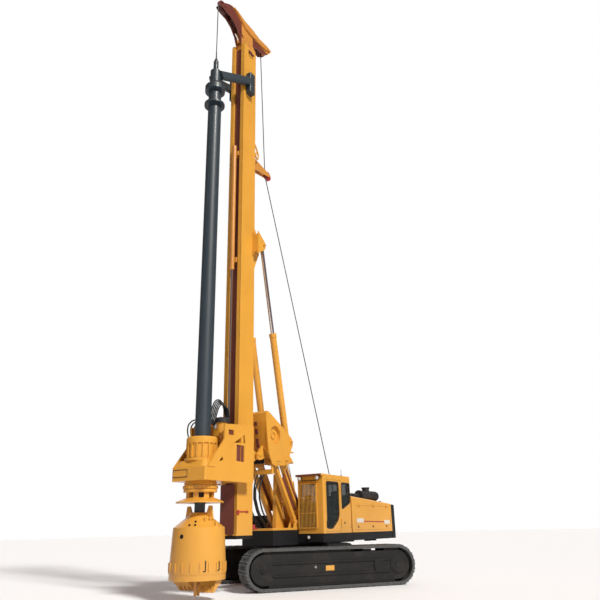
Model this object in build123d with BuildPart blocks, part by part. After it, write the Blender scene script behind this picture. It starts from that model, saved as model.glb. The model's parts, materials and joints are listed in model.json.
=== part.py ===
from build123d import *
import math
import os

# Rotary piling rig on tracks: lengths in millimetres, angles in degrees.
# The origin is on the slewing axis at the ground, +X points from the slewing axis
# to the mast, +Y to the cab's side and +Z up. The tracks stand turned under the
# upper structure, which faces +X.

SEAT = 0.3                 # running gap where one piece rests on another
PLAY = 6.0                 # side play of an eye or a link between two ears
ROD_FIT = 0.05             # running fit of pins in bores and rods in barrels

# Undercarriage
TRACK_YAW = -36.5
TRACK_LENGTH = 5270.0
TRACK_HEIGHT = 1110.0
TRACK_OUTER = 2110.0       # half the width over the tracks
SHOE_WIDTH = 710.0
SHOE_COUNT = 54
GROUSER = 34.0
SHOE_PLATE = 16.0
BELT = 62.0
SKIRT = 40.0
FRAME_WIDTH = 560.0
FRAME_TOP = 830.0
FRAME_BOTTOM = 330.0
ROLLER_R = 100.0
ROLLER_COUNT = 8
RING_R = 780.0             # slewing ring
RING_TOP = 1075.0
CARBODY_TOP = 940.0
CARBODY_BOTTOM = 430.0

# Upper structure
DECK_BOTTOM = 1217.0
DECK_TOP = 1450.0
DECK_HALF = 1442.0
DECK_REAR = -3550.0
TAIL_X = -3980.0
TAIL_TOP = 2340.0
HOOD_FRONT = -460.0
HOOD_TOP_FRONT = 2530.0
HOOD_TOP_REAR = 2370.0
HOOD_INNER = 560.0
HOOD_WALL = 30.0
CAB_REAR = -410.0
CAB_FRONT = 1336.0
CAB_INNER = 540.0
CAB_TOP = 3060.0
ROOF_TOP = 3120.0
CAB_WALL = 50.0
VISOR = 110.0
NOSE_FRONT = 2650.0
NOSE_HALF = 560.0
NOSE_BOTTOM = 1160.0
NOSE_TOP = 1560.0
NOSE_PLATE = 60.0

# Parallelogram that carries the mast; pins as (x, z) at rest
ARM_Y = 400.0
ARM_WIDTH = 130.0
EAR = 28.0
ARM_FOOT = (860.0, 1800.0)
STRUT_FOOT = (1300.0, 1760.0)
LINK_REACH = (1130.0, 1680.0)
ARM_DEPTH = 230.0
STRUT_DEPTH = 110.0
PIN_R = 45.0
LUFF_Y = 190.0
LUFF_FOOT = (700.0, 1700.0)
LUFF_HEAD = (1360.0, 3560.0)
LUFF_BARREL_R = 82.0
LUFF_ROD_R = 45.0
LUFF_BARREL = 1330.0

# Carrier, mast and stay cylinders
CARRIER_Y = 530.0
CARRIER_PLATE = 40.0
MAST_PIVOT = (3080.0, 3560.0)
STAY_Y = 400.0
STAY_FOOT = (1700.0, 4060.0)
STAY_HEAD = (3060.0, 10200.0)
STAY_BARREL_R = 105.0
STAY_ROD_R = 60.0
STAY_BARREL = 3400.0
MAST_FRONT = 3990.0
MAST_REAR = 3265.0
MAST_WIDTH = 530.0
MAST_BOTTOM = 1450.0
MAST_TOP = 17980.0
MAST_WALL = 22.0
RAIL_WIDTH = 120.0
RAIL_DEPTH = 95.0
FOOT_BOTTOM = 1365.0

# Crown sheaves as (x, z) and the red guide sheave behind the mast
CROWN_HALF = 110.0
CROWN_PLATE = 30.0
SHEAVE_R = 240.0
SHEAVE_WIDTH = 90.0
REAR_SHEAVE = (2840.0, 18870.0)
GUIDE_SHEAVE = (2150.0, 13450.0)
GUIDE_SHEAVE_R = 170.0

# Power head, kelly bar and tool
KELLY_X = 5173.0
KELLY_R = 205.0
KELLY_BORE = 145.0
KELLY_BOTTOM = 2390.0
KELLY_STUB = 190.0         # square of the tool's stub
KEY_OUT = 12.0
FRONT_SHEAVE = (KELLY_X - SHEAVE_R, 18930.0)
HEAD_BOTTOM = 2770.0
HEAD_TOP = 3095.0
HEAD_HALF = 577.0
HEAD_FRONT = 490.0
HEAD_PLATE = 32.0
HEAD_BORE = 262.0
DRUM_R = 400.0
DRUM_FLANGE_R = 440.0
DRUM_TOP = 3880.0
SKIRT_TOP = 3275.0
FLARE_R = 605.0
FLARE_BOTTOM = 2250.0
CASING_PCD = 1140.0
CASING_BOLTS = 12
CASING_BOLT_R = 17.0
CROWD_X = 4075.0
CROWD_ROD_R = 38.0
CROWD_BARREL_R = 72.0
CROWD_BARREL_BOTTOM = 9100.0
CROWD_BARREL_TOP = 13600.0
CROWD_ROD_BOTTOM = 4330.0
CROWD_ROD_TOP = 9650.0
COLLAR_R = 330.0           # disc on the kelly below its guide
COLLAR_Z = 14500.0
COLLAR = 60.0
GUIDE_RING = (15060.0, 15260.0)    # foot and top of the kelly guide's ring
GUIDE_RING_R = 325.0
GUIDE_FLOOR = 40.0
THRUST_R = 255.0           # flange that hangs the kelly in the guide's ring
THRUST = 80.0
HUB_R = 175.0
HUB_TOP = 15930.0
BUCKET_TOP_R = 638.0
BUCKET_BOTTOM_R = 687.0
BUCKET_WALL = 25.0
BUCKET_SHOULDER = 1670.0
BUCKET_BOTTOM = 490.0
EAR_BORE_R = 28.0
DOOR_PLATE = 90.0
BUCKET_PIN_OUT = 40.0      # from the bucket's rim to the hinge of its door
BUCKET_PIN_R = 14.0
BUCKET_PIN = (KELLY_X - BUCKET_BOTTOM_R - BUCKET_PIN_OUT, BUCKET_BOTTOM + DOOR_PLATE + 10)
BUCKET_KNUCKLE = 44.0      # half the width of the door's knuckle
NECK_R = 215.0
NECK_TOP = 2020.0
EARS_TOP = 2180.0

# Winch
WINCH = (-2580.0, 1960.0)
DRUM_BARREL_R = 300.0
WINCH_FLANGE_R = 420.0
WINCH_HALF = 330.0

ARM_HEAD = (ARM_FOOT[0] + LINK_REACH[0], ARM_FOOT[1] + LINK_REACH[1])
STRUT_HEAD = (STRUT_FOOT[0] + LINK_REACH[0], STRUT_FOOT[1] + LINK_REACH[1])
TRACK_MID = TRACK_OUTER - SHOE_WIDTH / 2
MAST_HALF = MAST_WIDTH / 2


def side(y=0.0, x=0.0, z=0.0):
    """Upright plane across Y: sketch x is X, sketch y is Z."""
    return Plane(origin=(x, y, z), x_dir=(1, 0, 0), z_dir=(0, -1, 0))


def link_side(foot, head, y=0.0):
    """Upright plane across Y whose x runs along a link, from its foot pin to its head."""
    return Plane(origin=(foot[0], y, foot[1]), x_dir=(head[0] - foot[0], 0, head[1] - foot[1]),
                 z_dir=(0, -1, 0))


def link_axis(foot, head, y=0.0, start=0.0):
    """Plane across a link, a distance from its foot pin, for round rods and barrels."""
    length = math.dist(foot, head)
    ux = (head[0] - foot[0]) / length
    uz = (head[1] - foot[1]) / length
    return Plane(origin=(foot[0] + ux * start, y, foot[1] + uz * start), x_dir=(0, 1, 0),
                 z_dir=(ux, 0, uz))


# The chassis planes are turned with the tracks
YAW = math.radians(TRACK_YAW)
CHASSIS_X = Vector(math.cos(YAW), math.sin(YAW), 0)
CHASSIS_Y = Vector(-math.sin(YAW), math.cos(YAW), 0)


def chassis_level(z):
    return Plane(origin=(0, 0, z), x_dir=CHASSIS_X, z_dir=(0, 0, 1))


def chassis_side(y):
    return Plane(origin=CHASSIS_Y * y, x_dir=CHASSIS_X, z_dir=CHASSIS_Y * -1)


def outline(points, mode=Mode.ADD):
    """Closed shape through straight edges in the sketch that is being drawn."""
    Polygon(*points, align=None, mode=mode)


# Panel hinges: an axis outside the panels, knuckles of both on one pin
HINGE_OUT = 20.0           # from the panels' face to the axis
HINGE_PIN_R = 8.0
KNUCKLE_R = 14.0
KNUCKLE = 80.0             # length of the moving knuckle
LEAF = 78.0


def leaf(way):
    """Half of a hinge across its axis: the knuckle and its leaf down to the panel's face."""
    Circle(KNUCKLE_R)
    outline(((way * LEAF, -HINGE_OUT), (way * LEAF, -HINGE_OUT + 8), (way * 24, -HINGE_OUT + 8),
             (way * 6, KNUCKLE_R - 3), (way * 6, -KNUCKLE_R + 3), (way * 16, -HINGE_OUT)))


def save(name, builder):
    builder.part.label = name
    export_step(builder.part, f"parts/{name}.step")


os.makedirs("parts", exist_ok=True)

# Tracks: one loop each, with every shoe and its two grousers in the outline
LOOP_R = TRACK_HEIGHT / 2 - GROUSER
LOOP_STRAIGHT = TRACK_LENGTH - TRACK_HEIGHT
LOOP_ARC = math.pi * LOOP_R
LOOP_LENGTH = 2 * (LOOP_STRAIGHT + LOOP_ARC)
WHEEL_X = LOOP_STRAIGHT / 2
AXLE_Z = TRACK_HEIGHT / 2
# One shoe: part of the pitch along the loop, height above the loop
SHOE_PROFILE = ((0.03, 0.0), (0.03, SHOE_PLATE), (0.12, GROUSER), (0.22, GROUSER), (0.30, SHOE_PLATE),
                (0.66, SHOE_PLATE), (0.74, GROUSER), (0.84, GROUSER), (0.97, SHOE_PLATE), (0.97, 0.0))


def loop_point(along, out):
    """Point of the track's loop at a length along it, moved outwards."""
    radius = LOOP_R + out
    if along < LOOP_STRAIGHT:
        return (WHEEL_X - along, AXLE_Z + radius)
    along -= LOOP_STRAIGHT
    if along < LOOP_ARC:
        turn = along / LOOP_R
        return (-WHEEL_X - radius * math.sin(turn), AXLE_Z + radius * math.cos(turn))
    along -= LOOP_ARC
    if along < LOOP_STRAIGHT:
        return (-WHEEL_X + along, AXLE_Z - radius)
    turn = (along - LOOP_STRAIGHT) / LOOP_R
    return (WHEEL_X + radius * math.sin(turn), AXLE_Z - radius * math.cos(turn))


pitch = LOOP_LENGTH / SHOE_COUNT
shoe_line = [loop_point((shoe + part) * pitch, out)
             for shoe in range(SHOE_COUNT) for part, out in SHOE_PROFILE]

for name, sign in (("track_left", 1), ("track_right", -1)):
    with BuildPart() as track:
        with BuildSketch(chassis_side(sign * TRACK_MID)):
            Polygon(*shoe_line, align=None)
            with Locations((0, AXLE_Z)):
                SlotCenterToCenter(LOOP_STRAIGHT, 2 * (LOOP_R - BELT), mode=Mode.SUBTRACT)
        extrude(amount=SHOE_WIDTH / 2, both=True)
    save(name, track)

# Side frames: two skirts with a box between them and ribs along the outside
WHEEL_R = LOOP_R - BELT - SEAT
BOX_HALF = WHEEL_X - WHEEL_R - 40
SKIRT_R = WHEEL_R - 70
SKIRT_BOTTOM = AXLE_Z - SKIRT_R
CHANNEL = FRAME_WIDTH / 2 - SKIRT
for name, sign in (("side_frame_left", 1), ("side_frame_right", -1)):
    with BuildPart() as side_frame:
        for y in (sign * TRACK_MID - FRAME_WIDTH / 2 + SKIRT / 2,
                  sign * TRACK_MID + FRAME_WIDTH / 2 - SKIRT / 2):
            with BuildSketch(chassis_side(y)):
                with Locations((0, AXLE_Z)):
                    SlotCenterToCenter(2 * WHEEL_X, 2 * SKIRT_R)
            extrude(amount=SKIRT / 2, both=True)
        with BuildSketch(chassis_side(sign * TRACK_MID)):
            with Locations((0, (FRAME_TOP + FRAME_BOTTOM) / 2)):
                Rectangle(2 * BOX_HALF, FRAME_TOP - FRAME_BOTTOM)
        extrude(amount=FRAME_WIDTH / 2 - SKIRT / 2, both=True)
        with BuildSketch(chassis_side(sign * (TRACK_MID + FRAME_WIDTH / 2))):
            with Locations((0, AXLE_Z + 150), (0, AXLE_Z - 170)):
                Rectangle(2.3 * BOX_HALF, 45)
            with Locations((-0.93 * BOX_HALF, AXLE_Z)):
                Circle(190)
        extrude(amount=30, both=True)
    save(name, side_frame)

# Sprockets at the tail and idlers at the nose, seated on their skirts
TEETH = 23
with BuildPart() as track_wheels:
    for sign in (1, -1):
        with BuildSketch(chassis_side(sign * TRACK_MID)):
            with Locations((-WHEEL_X, AXLE_Z)):
                Circle(WHEEL_R - 40)
            with Locations((-WHEEL_X, AXLE_Z)):
                with PolarLocations(WHEEL_R - 24, TEETH):
                    Rectangle(44, 40)
        extrude(amount=45, both=True)
        with BuildSketch(chassis_side(sign * TRACK_MID)):
            with Locations((-WHEEL_X, AXLE_Z)):
                Circle(260)
            with Locations((WHEEL_X, AXLE_Z)):
                Circle(120)
        extrude(amount=CHANNEL, both=True)
        with BuildSketch(chassis_side(sign * TRACK_MID)):
            with Locations((WHEEL_X, AXLE_Z)):
                Circle(WHEEL_R)
        extrude(amount=170, both=True)
save("track_wheels", track_wheels)

with BuildPart() as track_rollers:
    spread = 2 * BOX_HALF - 120
    roller_z = AXLE_Z - WHEEL_R + ROLLER_R
    for sign in (1, -1):
        with BuildSketch(chassis_side(sign * TRACK_MID)):
            with Locations((0, roller_z)):
                with GridLocations(spread / (ROLLER_COUNT - 1), 0, ROLLER_COUNT, 1):
                    Circle(ROLLER_R)
        extrude(amount=CHANNEL - 30, both=True)
        with BuildSketch(chassis_side(sign * TRACK_MID)):
            with Locations((0, roller_z)):
                with GridLocations(spread / (ROLLER_COUNT - 1), 0, ROLLER_COUNT, 1):
                    Circle(35)
        extrude(amount=CHANNEL, both=True)
save("track_rollers", track_rollers)

# Car body between the side frames, under the slewing ring
CARBODY_HALF = TRACK_MID - FRAME_WIDTH / 2
with BuildPart() as car_body:
    with BuildSketch(chassis_level(CARBODY_BOTTOM)):
        Rectangle(1500, 1500)
        with Locations((700, 0), (-700, 0)):
            Rectangle(420, 2 * CARBODY_HALF)
    extrude(amount=CARBODY_TOP - CARBODY_BOTTOM)
    with BuildSketch(chassis_level(CARBODY_TOP)):
        Circle(RING_R)
        Circle(RING_R - 180, mode=Mode.SUBTRACT)
    extrude(amount=RING_TOP - CARBODY_TOP)
save("car_body", car_body)

CENTRE_REAR = -2450.0      # the frame's lower middle part
CENTRE_DROP = 75.0

# Deck: the dark main frame of the upper structure with the slewing ring's upper half
with BuildPart() as deck_frame:
    with BuildSketch(Plane.XY.offset(DECK_BOTTOM)):
        with Locations(((DECK_REAR + CAB_FRONT) / 2, 0)):
            RectangleRounded(CAB_FRONT - DECK_REAR, 2 * DECK_HALF, 60)
    extrude(amount=DECK_TOP - DECK_BOTTOM)
    with BuildSketch(Plane.XY.offset(NOSE_BOTTOM)):
        with Locations(((NOSE_FRONT + 700) / 2, 0)):
            Rectangle(NOSE_FRONT - 700, 2 * NOSE_HALF - 60)
    extrude(amount=NOSE_TOP - NOSE_BOTTOM)
    with BuildSketch(Plane.XY.offset(DECK_BOTTOM - CENTRE_DROP)):
        with Locations(((CENTRE_REAR + NOSE_FRONT) / 2, 0)):
            Rectangle(NOSE_FRONT - CENTRE_REAR - 160, 2 * NOSE_HALF - 100)
    extrude(amount=CENTRE_DROP)
    with BuildSketch(Plane.XY.offset(RING_TOP + SEAT)):
        Circle(RING_R - 20)
    extrude(amount=DECK_BOTTOM - RING_TOP - SEAT)
save("deck_frame", deck_frame)

# Nose: the yellow plate in front of the cab with the ears of arms, struts and luffing cylinders
EAR_IN = ARM_Y - ARM_WIDTH / 2 - PLAY - EAR / 2
EAR_OUT = ARM_Y + ARM_WIDTH / 2 + PLAY + EAR / 2
LUFF_EYE = 110.0
LUFF_EAR_IN = LUFF_Y - LUFF_EYE / 2 - PLAY - EAR / 2
LUFF_EAR_OUT = LUFF_Y + LUFF_EYE / 2 + PLAY + EAR / 2
PLATE_TOP = NOSE_TOP + NOSE_PLATE
with BuildPart() as nose_deck:
    with BuildSketch(Plane.XY.offset(NOSE_TOP)):
        with Locations(((NOSE_FRONT + 480) / 2, 0)):
            Rectangle(NOSE_FRONT - 480, 2 * (CAB_INNER - 20))
    extrude(amount=NOSE_PLATE)
    for y in (EAR_IN, EAR_OUT):
        with BuildSketch(side(y)):
            outline(((600, PLATE_TOP - 1), (1520, PLATE_TOP - 1), (1400, STRUT_FOOT[1] + 60),
                     (STRUT_FOOT[0], STRUT_FOOT[1] + 95), (ARM_FOOT[0], ARM_FOOT[1] + 110),
                     (740, ARM_FOOT[1] + 60)))
        extrude(amount=EAR / 2, both=True)
    for y in (LUFF_EAR_IN, LUFF_EAR_OUT):
        with BuildSketch(side(y)):
            outline(((520, PLATE_TOP - 1), (880, PLATE_TOP - 1), (790, LUFF_FOOT[1] + 70),
                     (610, LUFF_FOOT[1] + 70)))
        extrude(amount=EAR / 2, both=True)
    # Pins of the arms and struts reach across their two ears
    for x, z in (ARM_FOOT, STRUT_FOOT):
        with BuildSketch(side(ARM_Y, x, z)):
            Circle(PIN_R)
        extrude(amount=ARM_WIDTH / 2 + PLAY + EAR, both=True)
    with BuildSketch(side(LUFF_Y, LUFF_FOOT[0], LUFF_FOOT[1])):
        Circle(PIN_R)
    extrude(amount=LUFF_EYE / 2 + PLAY + EAR, both=True)
    mirror(about=Plane.XZ)
save("nose_deck", nose_deck)

# Hose post: the tapered column in the middle of the nose
POST_HALF = 60.0
with BuildPart() as hose_post:
    with BuildSketch(side()):
        outline(((1330, PLATE_TOP), (1800, PLATE_TOP), (1740, 3150), (1640, 3150)))
    extrude(amount=POST_HALF, both=True)
save("hose_post", hose_post)

# Counterweight with a curved back
TAIL_SAG = 160.0
with BuildPart() as counterweight:
    with BuildSketch(Plane.XY.offset(DECK_BOTTOM)):
        with BuildLine():
            Polyline((TAIL_X + TAIL_SAG, -DECK_HALF), (DECK_REAR, -DECK_HALF), (DECK_REAR, DECK_HALF),
                     (TAIL_X + TAIL_SAG, DECK_HALF))
            ThreePointArc((TAIL_X + TAIL_SAG, DECK_HALF), (TAIL_X, 0), (TAIL_X + TAIL_SAG, -DECK_HALF))
        make_face()
    extrude(amount=TAIL_TOP - DECK_BOTTOM)
    fillet(counterweight.faces().sort_by(Axis.Z)[-1].edges(), 45)
save("counterweight", counterweight)


# Side outline of both hoods: the top falls to the tail
HOOD_SIDE = ((DECK_REAR, DECK_TOP), (HOOD_FRONT, DECK_TOP), (HOOD_FRONT, HOOD_TOP_FRONT),
             (DECK_REAR, HOOD_TOP_REAR))

# Left hood: a shell over the engine, open behind its side lid
LID_X = (-3420.0, -700.0)
LID_Z = (1520.0, 2250.0)
LID_THICK = 34.0
LID_GAP = 6.0
LID_HINGE_X = (-3150.0, -2060.0, -970.0)
LID_HINGE_Z = LID_Z[1] + LID_GAP / 2
HOOD_MID = (HOOD_INNER + DECK_HALF) / 2
HOOD_WIDTH = DECK_HALF - HOOD_INNER


def lid_hinge(x):
    """Plane across the lid's hinge: sketch x is up, sketch y is out of the rig's side."""
    return Plane(origin=(x, DECK_HALF + HINGE_OUT, LID_HINGE_Z), x_dir=(0, 0, 1), z_dir=(-1, 0, 0))


with BuildPart() as hood_left:
    with BuildSketch(side(HOOD_MID)):
        outline(HOOD_SIDE)
    extrude(amount=HOOD_WIDTH / 2, both=True)
    fillet(hood_left.faces().sort_by(Axis.Z)[-1].edges().filter_by(Axis.Y, reverse=True), 50)
    offset(amount=-HOOD_WALL, openings=hood_left.faces().sort_by(Axis.Z)[0])
    with BuildSketch(side(DECK_HALF)):
        with Locations(((LID_X[0] + LID_X[1]) / 2, (LID_Z[0] + LID_Z[1]) / 2)):
            Rectangle(LID_X[1] - LID_X[0] + 2 * LID_GAP, LID_Z[1] - LID_Z[0] + 2 * LID_GAP)
    extrude(amount=2 * HOOD_WALL, both=True, mode=Mode.SUBTRACT)
    for x in LID_HINGE_X:
        for reach in (1, -1):
            with BuildSketch(lid_hinge(x - reach * (KNUCKLE / 2 + PLAY))):
                leaf(1)
            extrude(amount=reach * KNUCKLE / 2)
        with BuildSketch(lid_hinge(x)):
            Circle(HINGE_PIN_R)
        extrude(amount=KNUCKLE / 2 + 2 * PLAY, both=True)
save("hood_left", hood_left)

with BuildPart() as hood_lid:
    with BuildSketch(side(DECK_HALF - LID_THICK / 2)):
        with Locations(((LID_X[0] + LID_X[1]) / 2, (LID_Z[0] + LID_Z[1]) / 2)):
            Rectangle(LID_X[1] - LID_X[0], LID_Z[1] - LID_Z[0])
    extrude(amount=LID_THICK / 2, both=True)
    with BuildSketch(side(DECK_HALF)):
        with Locations(*((x, LID_Z[0] + 90) for x in (-3200, -2060, -920))):
            Rectangle(90, 45)
    extrude(amount=14, both=True)
    for x in LID_HINGE_X:
        with BuildSketch(lid_hinge(x)):
            leaf(-1)
            Circle(HINGE_PIN_R + ROD_FIT, mode=Mode.SUBTRACT)
        extrude(amount=KNUCKLE / 2, both=True)
save("hood_lid", hood_lid)

# Right hood over the fuel and oil tanks
with BuildPart() as hood_right:
    with BuildSketch(side(-HOOD_MID)):
        outline(HOOD_SIDE)
    extrude(amount=HOOD_WIDTH / 2, both=True)
    fillet(hood_right.faces().sort_by(Axis.Z)[-1].edges().filter_by(Axis.Y, reverse=True), 50)
save("hood_right", hood_right)

with BuildPart() as engine_block:
    with BuildSketch(Plane.XY.offset(DECK_TOP)):
        with Locations((-2150, HOOD_MID)):
            Rectangle(1700, HOOD_WIDTH - 260)
    extrude(amount=700)
save("engine_block", engine_block)


def hood_height(x):
    """Height of the hoods' top at a place along the rig."""
    return HOOD_TOP_REAR + (HOOD_TOP_FRONT - HOOD_TOP_REAR) * (x - DECK_REAR) / (HOOD_FRONT - DECK_REAR)


# Air cleaner with its inlet, on two saddles on the left hood
CLEANER_X = (-3430.0, -2080.0)
CLEANER_Y = 900.0
CLEANER_R = 155.0
INLET_R = 68.0
INLET = 560.0              # from the drum to the inlet's end
STUB_R = 125.0
STUB_X = -2670.0
CLEANER_Z = hood_height(CLEANER_X[1]) + CLEANER_R + 30
SADDLE_TILT = math.degrees(math.atan2(HOOD_TOP_FRONT - HOOD_TOP_REAR, HOOD_FRONT - DECK_REAR))
with BuildPart() as air_cleaner:
    with BuildSketch(Plane(origin=(CLEANER_X[0], CLEANER_Y, CLEANER_Z), x_dir=(0, 1, 0), z_dir=(1, 0, 0))):
        Circle(CLEANER_R)
    extrude(amount=CLEANER_X[1] - CLEANER_X[0])
    inlet_foot = (CLEANER_X[1], CLEANER_Y, CLEANER_Z - 20)
    with BuildSketch(Plane(origin=inlet_foot, x_dir=(0, 1, 0), z_dir=(1, 0, 0))):
        Circle(INLET_R)
    extrude(amount=INLET)
    for x in (0.05, 0.15, 0.25, 0.35, 0.45, 0.98):
        at = CLEANER_X[0] + x * (CLEANER_X[1] - CLEANER_X[0])
        with BuildSketch(Plane(origin=(at, CLEANER_Y, CLEANER_Z), x_dir=(0, 1, 0), z_dir=(1, 0, 0))):
            Circle(CLEANER_R + 9)
        extrude(amount=16, both=True)
    with BuildSketch(side(CLEANER_Y)):
        for x in (CLEANER_X[0] + 150, CLEANER_X[1] - 120):
            outline(((x - 30, hood_height(x - 30)), (x + 30, hood_height(x + 30)), (x + 30, CLEANER_Z),
                     (x - 30, CLEANER_Z)))
    extrude(amount=110, both=True)
    with BuildSketch(Plane.XY.offset(CLEANER_Z)):
        with Locations((STUB_X, CLEANER_Y)):
            Circle(STUB_R)
    extrude(amount=CLEANER_R + 100)
    with BuildSketch(Plane.XY.offset(CLEANER_Z + CLEANER_R + 80)):
        with Locations((STUB_X, CLEANER_Y)):
            Circle(STUB_R + 20)
    extrude(amount=40)
save("air_cleaner", air_cleaner)

# Cab: hollow shell with its windows and doorway cut
DOOR_X = (300.0, 1200.0)
DOOR_Z = (1500.0, 2960.0)
DOOR_THICK = CAB_WALL
DOOR_GAP = 8.0
DOOR_HINGE_X = DOOR_X[0] - DOOR_GAP / 2
DOOR_HINGE_Z = (1750.0, 2720.0)
CAB_MID_X = (CAB_REAR + CAB_FRONT) / 2
CAB_MID_Y = (CAB_INNER + DECK_HALF) / 2
CAB_WIDTH = DECK_HALF - CAB_INNER
FRONT_PANE_Y = (CAB_INNER + 60, DECK_HALF - 242)
FRONT_PANE_Z = (1620.0, 2840.0)
# Window outlines as (x, z): the door's lower rear corner is cut off
DOOR_PANE = ((400.0, 2900.0), (1150.0, 2900.0), (1150.0, 1590.0), (830.0, 1590.0), (490.0, 1810.0),
             (400.0, 1980.0))
QUARTER_PANE = ((-350.0, 2900.0), (200.0, 2900.0), (200.0, 2130.0), (-350.0, 2330.0))
RIGHT_PANE = ((-300.0, 2900.0), (1150.0, 2900.0), (1150.0, 2100.0), (-300.0, 2100.0))
REAR_PANE_Z = (2560.0, 2900.0)
FRONT_PANE_MID = ((FRONT_PANE_Y[0] + FRONT_PANE_Y[1]) / 2, (FRONT_PANE_Z[0] + FRONT_PANE_Z[1]) / 2)
FRONT_PANE_WIDE = FRONT_PANE_Y[1] - FRONT_PANE_Y[0]
FRONT_PANE_TALL = FRONT_PANE_Z[1] - FRONT_PANE_Z[0]
REAR_PANE_MID = (CAB_MID_Y, (REAR_PANE_Z[0] + REAR_PANE_Z[1]) / 2)
REAR_PANE_WIDE = CAB_WIDTH - 240
REAR_PANE_TALL = REAR_PANE_Z[1] - REAR_PANE_Z[0]


def door_hinge(z):
    """Plane across the door's hinge: sketch x is forward, sketch y is out of the rig's side."""
    return Plane(origin=(DOOR_HINGE_X, DECK_HALF + HINGE_OUT, z), x_dir=(1, 0, 0), z_dir=(0, 0, 1))


with BuildPart() as cab_shell:
    with BuildSketch(Plane.XY.offset(DECK_TOP)):
        with Locations((CAB_MID_X, CAB_MID_Y)):
            RectangleRounded(CAB_FRONT - CAB_REAR, CAB_WIDTH, 40)
    extrude(amount=CAB_TOP - DECK_TOP)
    with BuildSketch(Plane.XY.offset(DECK_TOP + CAB_WALL)):
        with Locations((CAB_MID_X, CAB_MID_Y)):
            Rectangle(CAB_FRONT - CAB_REAR - 2 * CAB_WALL, CAB_WIDTH - 2 * CAB_WALL)
    extrude(amount=CAB_TOP - DECK_TOP, mode=Mode.SUBTRACT)
    with BuildSketch(side(DECK_HALF)):
        with Locations(((DOOR_X[0] + DOOR_X[1]) / 2, (DOOR_Z[0] + DOOR_Z[1]) / 2)):
            Rectangle(DOOR_X[1] - DOOR_X[0] + 2 * DOOR_GAP, DOOR_Z[1] - DOOR_Z[0] + 2 * DOOR_GAP)
        outline(QUARTER_PANE)
    extrude(amount=2 * CAB_WALL, both=True, mode=Mode.SUBTRACT)
    with BuildSketch(side(CAB_INNER)):
        outline(RIGHT_PANE)
    extrude(amount=2 * CAB_WALL, both=True, mode=Mode.SUBTRACT)
    with BuildSketch(Plane.YZ.offset(CAB_FRONT)):
        with Locations(FRONT_PANE_MID):
            Rectangle(FRONT_PANE_WIDE, FRONT_PANE_TALL)
    extrude(amount=2 * CAB_WALL, both=True, mode=Mode.SUBTRACT)
    with BuildSketch(Plane.YZ.offset(CAB_REAR)):
        with Locations(REAR_PANE_MID):
            Rectangle(REAR_PANE_WIDE, REAR_PANE_TALL)
    extrude(amount=2 * CAB_WALL, both=True, mode=Mode.SUBTRACT)
    for z in DOOR_HINGE_Z:
        for reach in (1, -1):
            with BuildSketch(door_hinge(z + reach * (KNUCKLE / 2 + PLAY))):
                leaf(-1)
            extrude(amount=reach * KNUCKLE / 2)
        with BuildSketch(door_hinge(z)):
            Circle(HINGE_PIN_R)
        extrude(amount=KNUCKLE / 2 + 2 * PLAY, both=True)
save("cab_shell", cab_shell)

with BuildPart() as cab_roof:
    with BuildSketch(Plane.XY.offset(CAB_TOP)):
        with Locations((CAB_MID_X + VISOR / 2, CAB_MID_Y)):
            RectangleRounded(CAB_FRONT + VISOR - CAB_REAR, CAB_WIDTH, 40)
    extrude(amount=ROOF_TOP - CAB_TOP)
    chamfer(cab_roof.faces().sort_by(Axis.Z)[-1].edges(), 20)
save("cab_roof", cab_roof)

PANE = 8.0
with BuildPart() as cab_glass:
    with BuildSketch(side(DECK_HALF - CAB_WALL / 2)):
        outline(QUARTER_PANE)
    extrude(amount=PANE / 2, both=True)
    with BuildSketch(side(CAB_INNER + CAB_WALL / 2)):
        outline(RIGHT_PANE)
    extrude(amount=PANE / 2, both=True)
    with BuildSketch(Plane.YZ.offset(CAB_FRONT - CAB_WALL / 2)):
        with Locations(FRONT_PANE_MID):
            Rectangle(FRONT_PANE_WIDE, FRONT_PANE_TALL)
    extrude(amount=PANE / 2, both=True)
    with BuildSketch(Plane.YZ.offset(CAB_REAR + CAB_WALL / 2)):
        with Locations(REAR_PANE_MID):
            Rectangle(REAR_PANE_WIDE, REAR_PANE_TALL)
    extrude(amount=PANE / 2, both=True)
save("cab_glass", cab_glass)

with BuildPart() as cab_door:
    with BuildSketch(side(DECK_HALF - DOOR_THICK / 2)):
        with Locations(((DOOR_X[0] + DOOR_X[1]) / 2, (DOOR_Z[0] + DOOR_Z[1]) / 2)):
            Rectangle(DOOR_X[1] - DOOR_X[0], DOOR_Z[1] - DOOR_Z[0])
        outline(DOOR_PANE, mode=Mode.SUBTRACT)
    extrude(amount=DOOR_THICK / 2, both=True)
    for z in DOOR_HINGE_Z:
        with BuildSketch(door_hinge(z)):
            leaf(1)
            Circle(HINGE_PIN_R + ROD_FIT, mode=Mode.SUBTRACT)
        extrude(amount=KNUCKLE / 2, both=True)
save("cab_door", cab_door)

with BuildPart() as door_glass:
    with BuildSketch(side(DECK_HALF - DOOR_THICK / 2)):
        outline(DOOR_PANE)
    extrude(amount=PANE / 2, both=True)
save("door_glass", door_glass)

# Guard of upright bars over the front pane
GUARD_BARS = 13
GUARD_BAR = 16.0
GUARD_RIM = 30.0
GUARD_OUT = 40.0
guard_wide = FRONT_PANE_WIDE + 40
guard_tall = FRONT_PANE_TALL + 60
with BuildPart() as cab_guard:
    with BuildSketch(Plane.YZ.offset(CAB_FRONT)):
        with Locations(FRONT_PANE_MID):
            Rectangle(guard_wide, guard_tall)
            Rectangle(guard_wide - 2 * GUARD_RIM, guard_tall - 2 * GUARD_RIM, mode=Mode.SUBTRACT)
            with GridLocations(guard_wide / (GUARD_BARS + 1), 0, GUARD_BARS, 1):
                Rectangle(GUARD_BAR, guard_tall - GUARD_RIM)
            with GridLocations(0, guard_tall / 3, 1, 2):
                Rectangle(guard_wide - GUARD_RIM, GUARD_BAR)
    extrude(amount=GUARD_OUT)
save("cab_guard", cab_guard)

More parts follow.
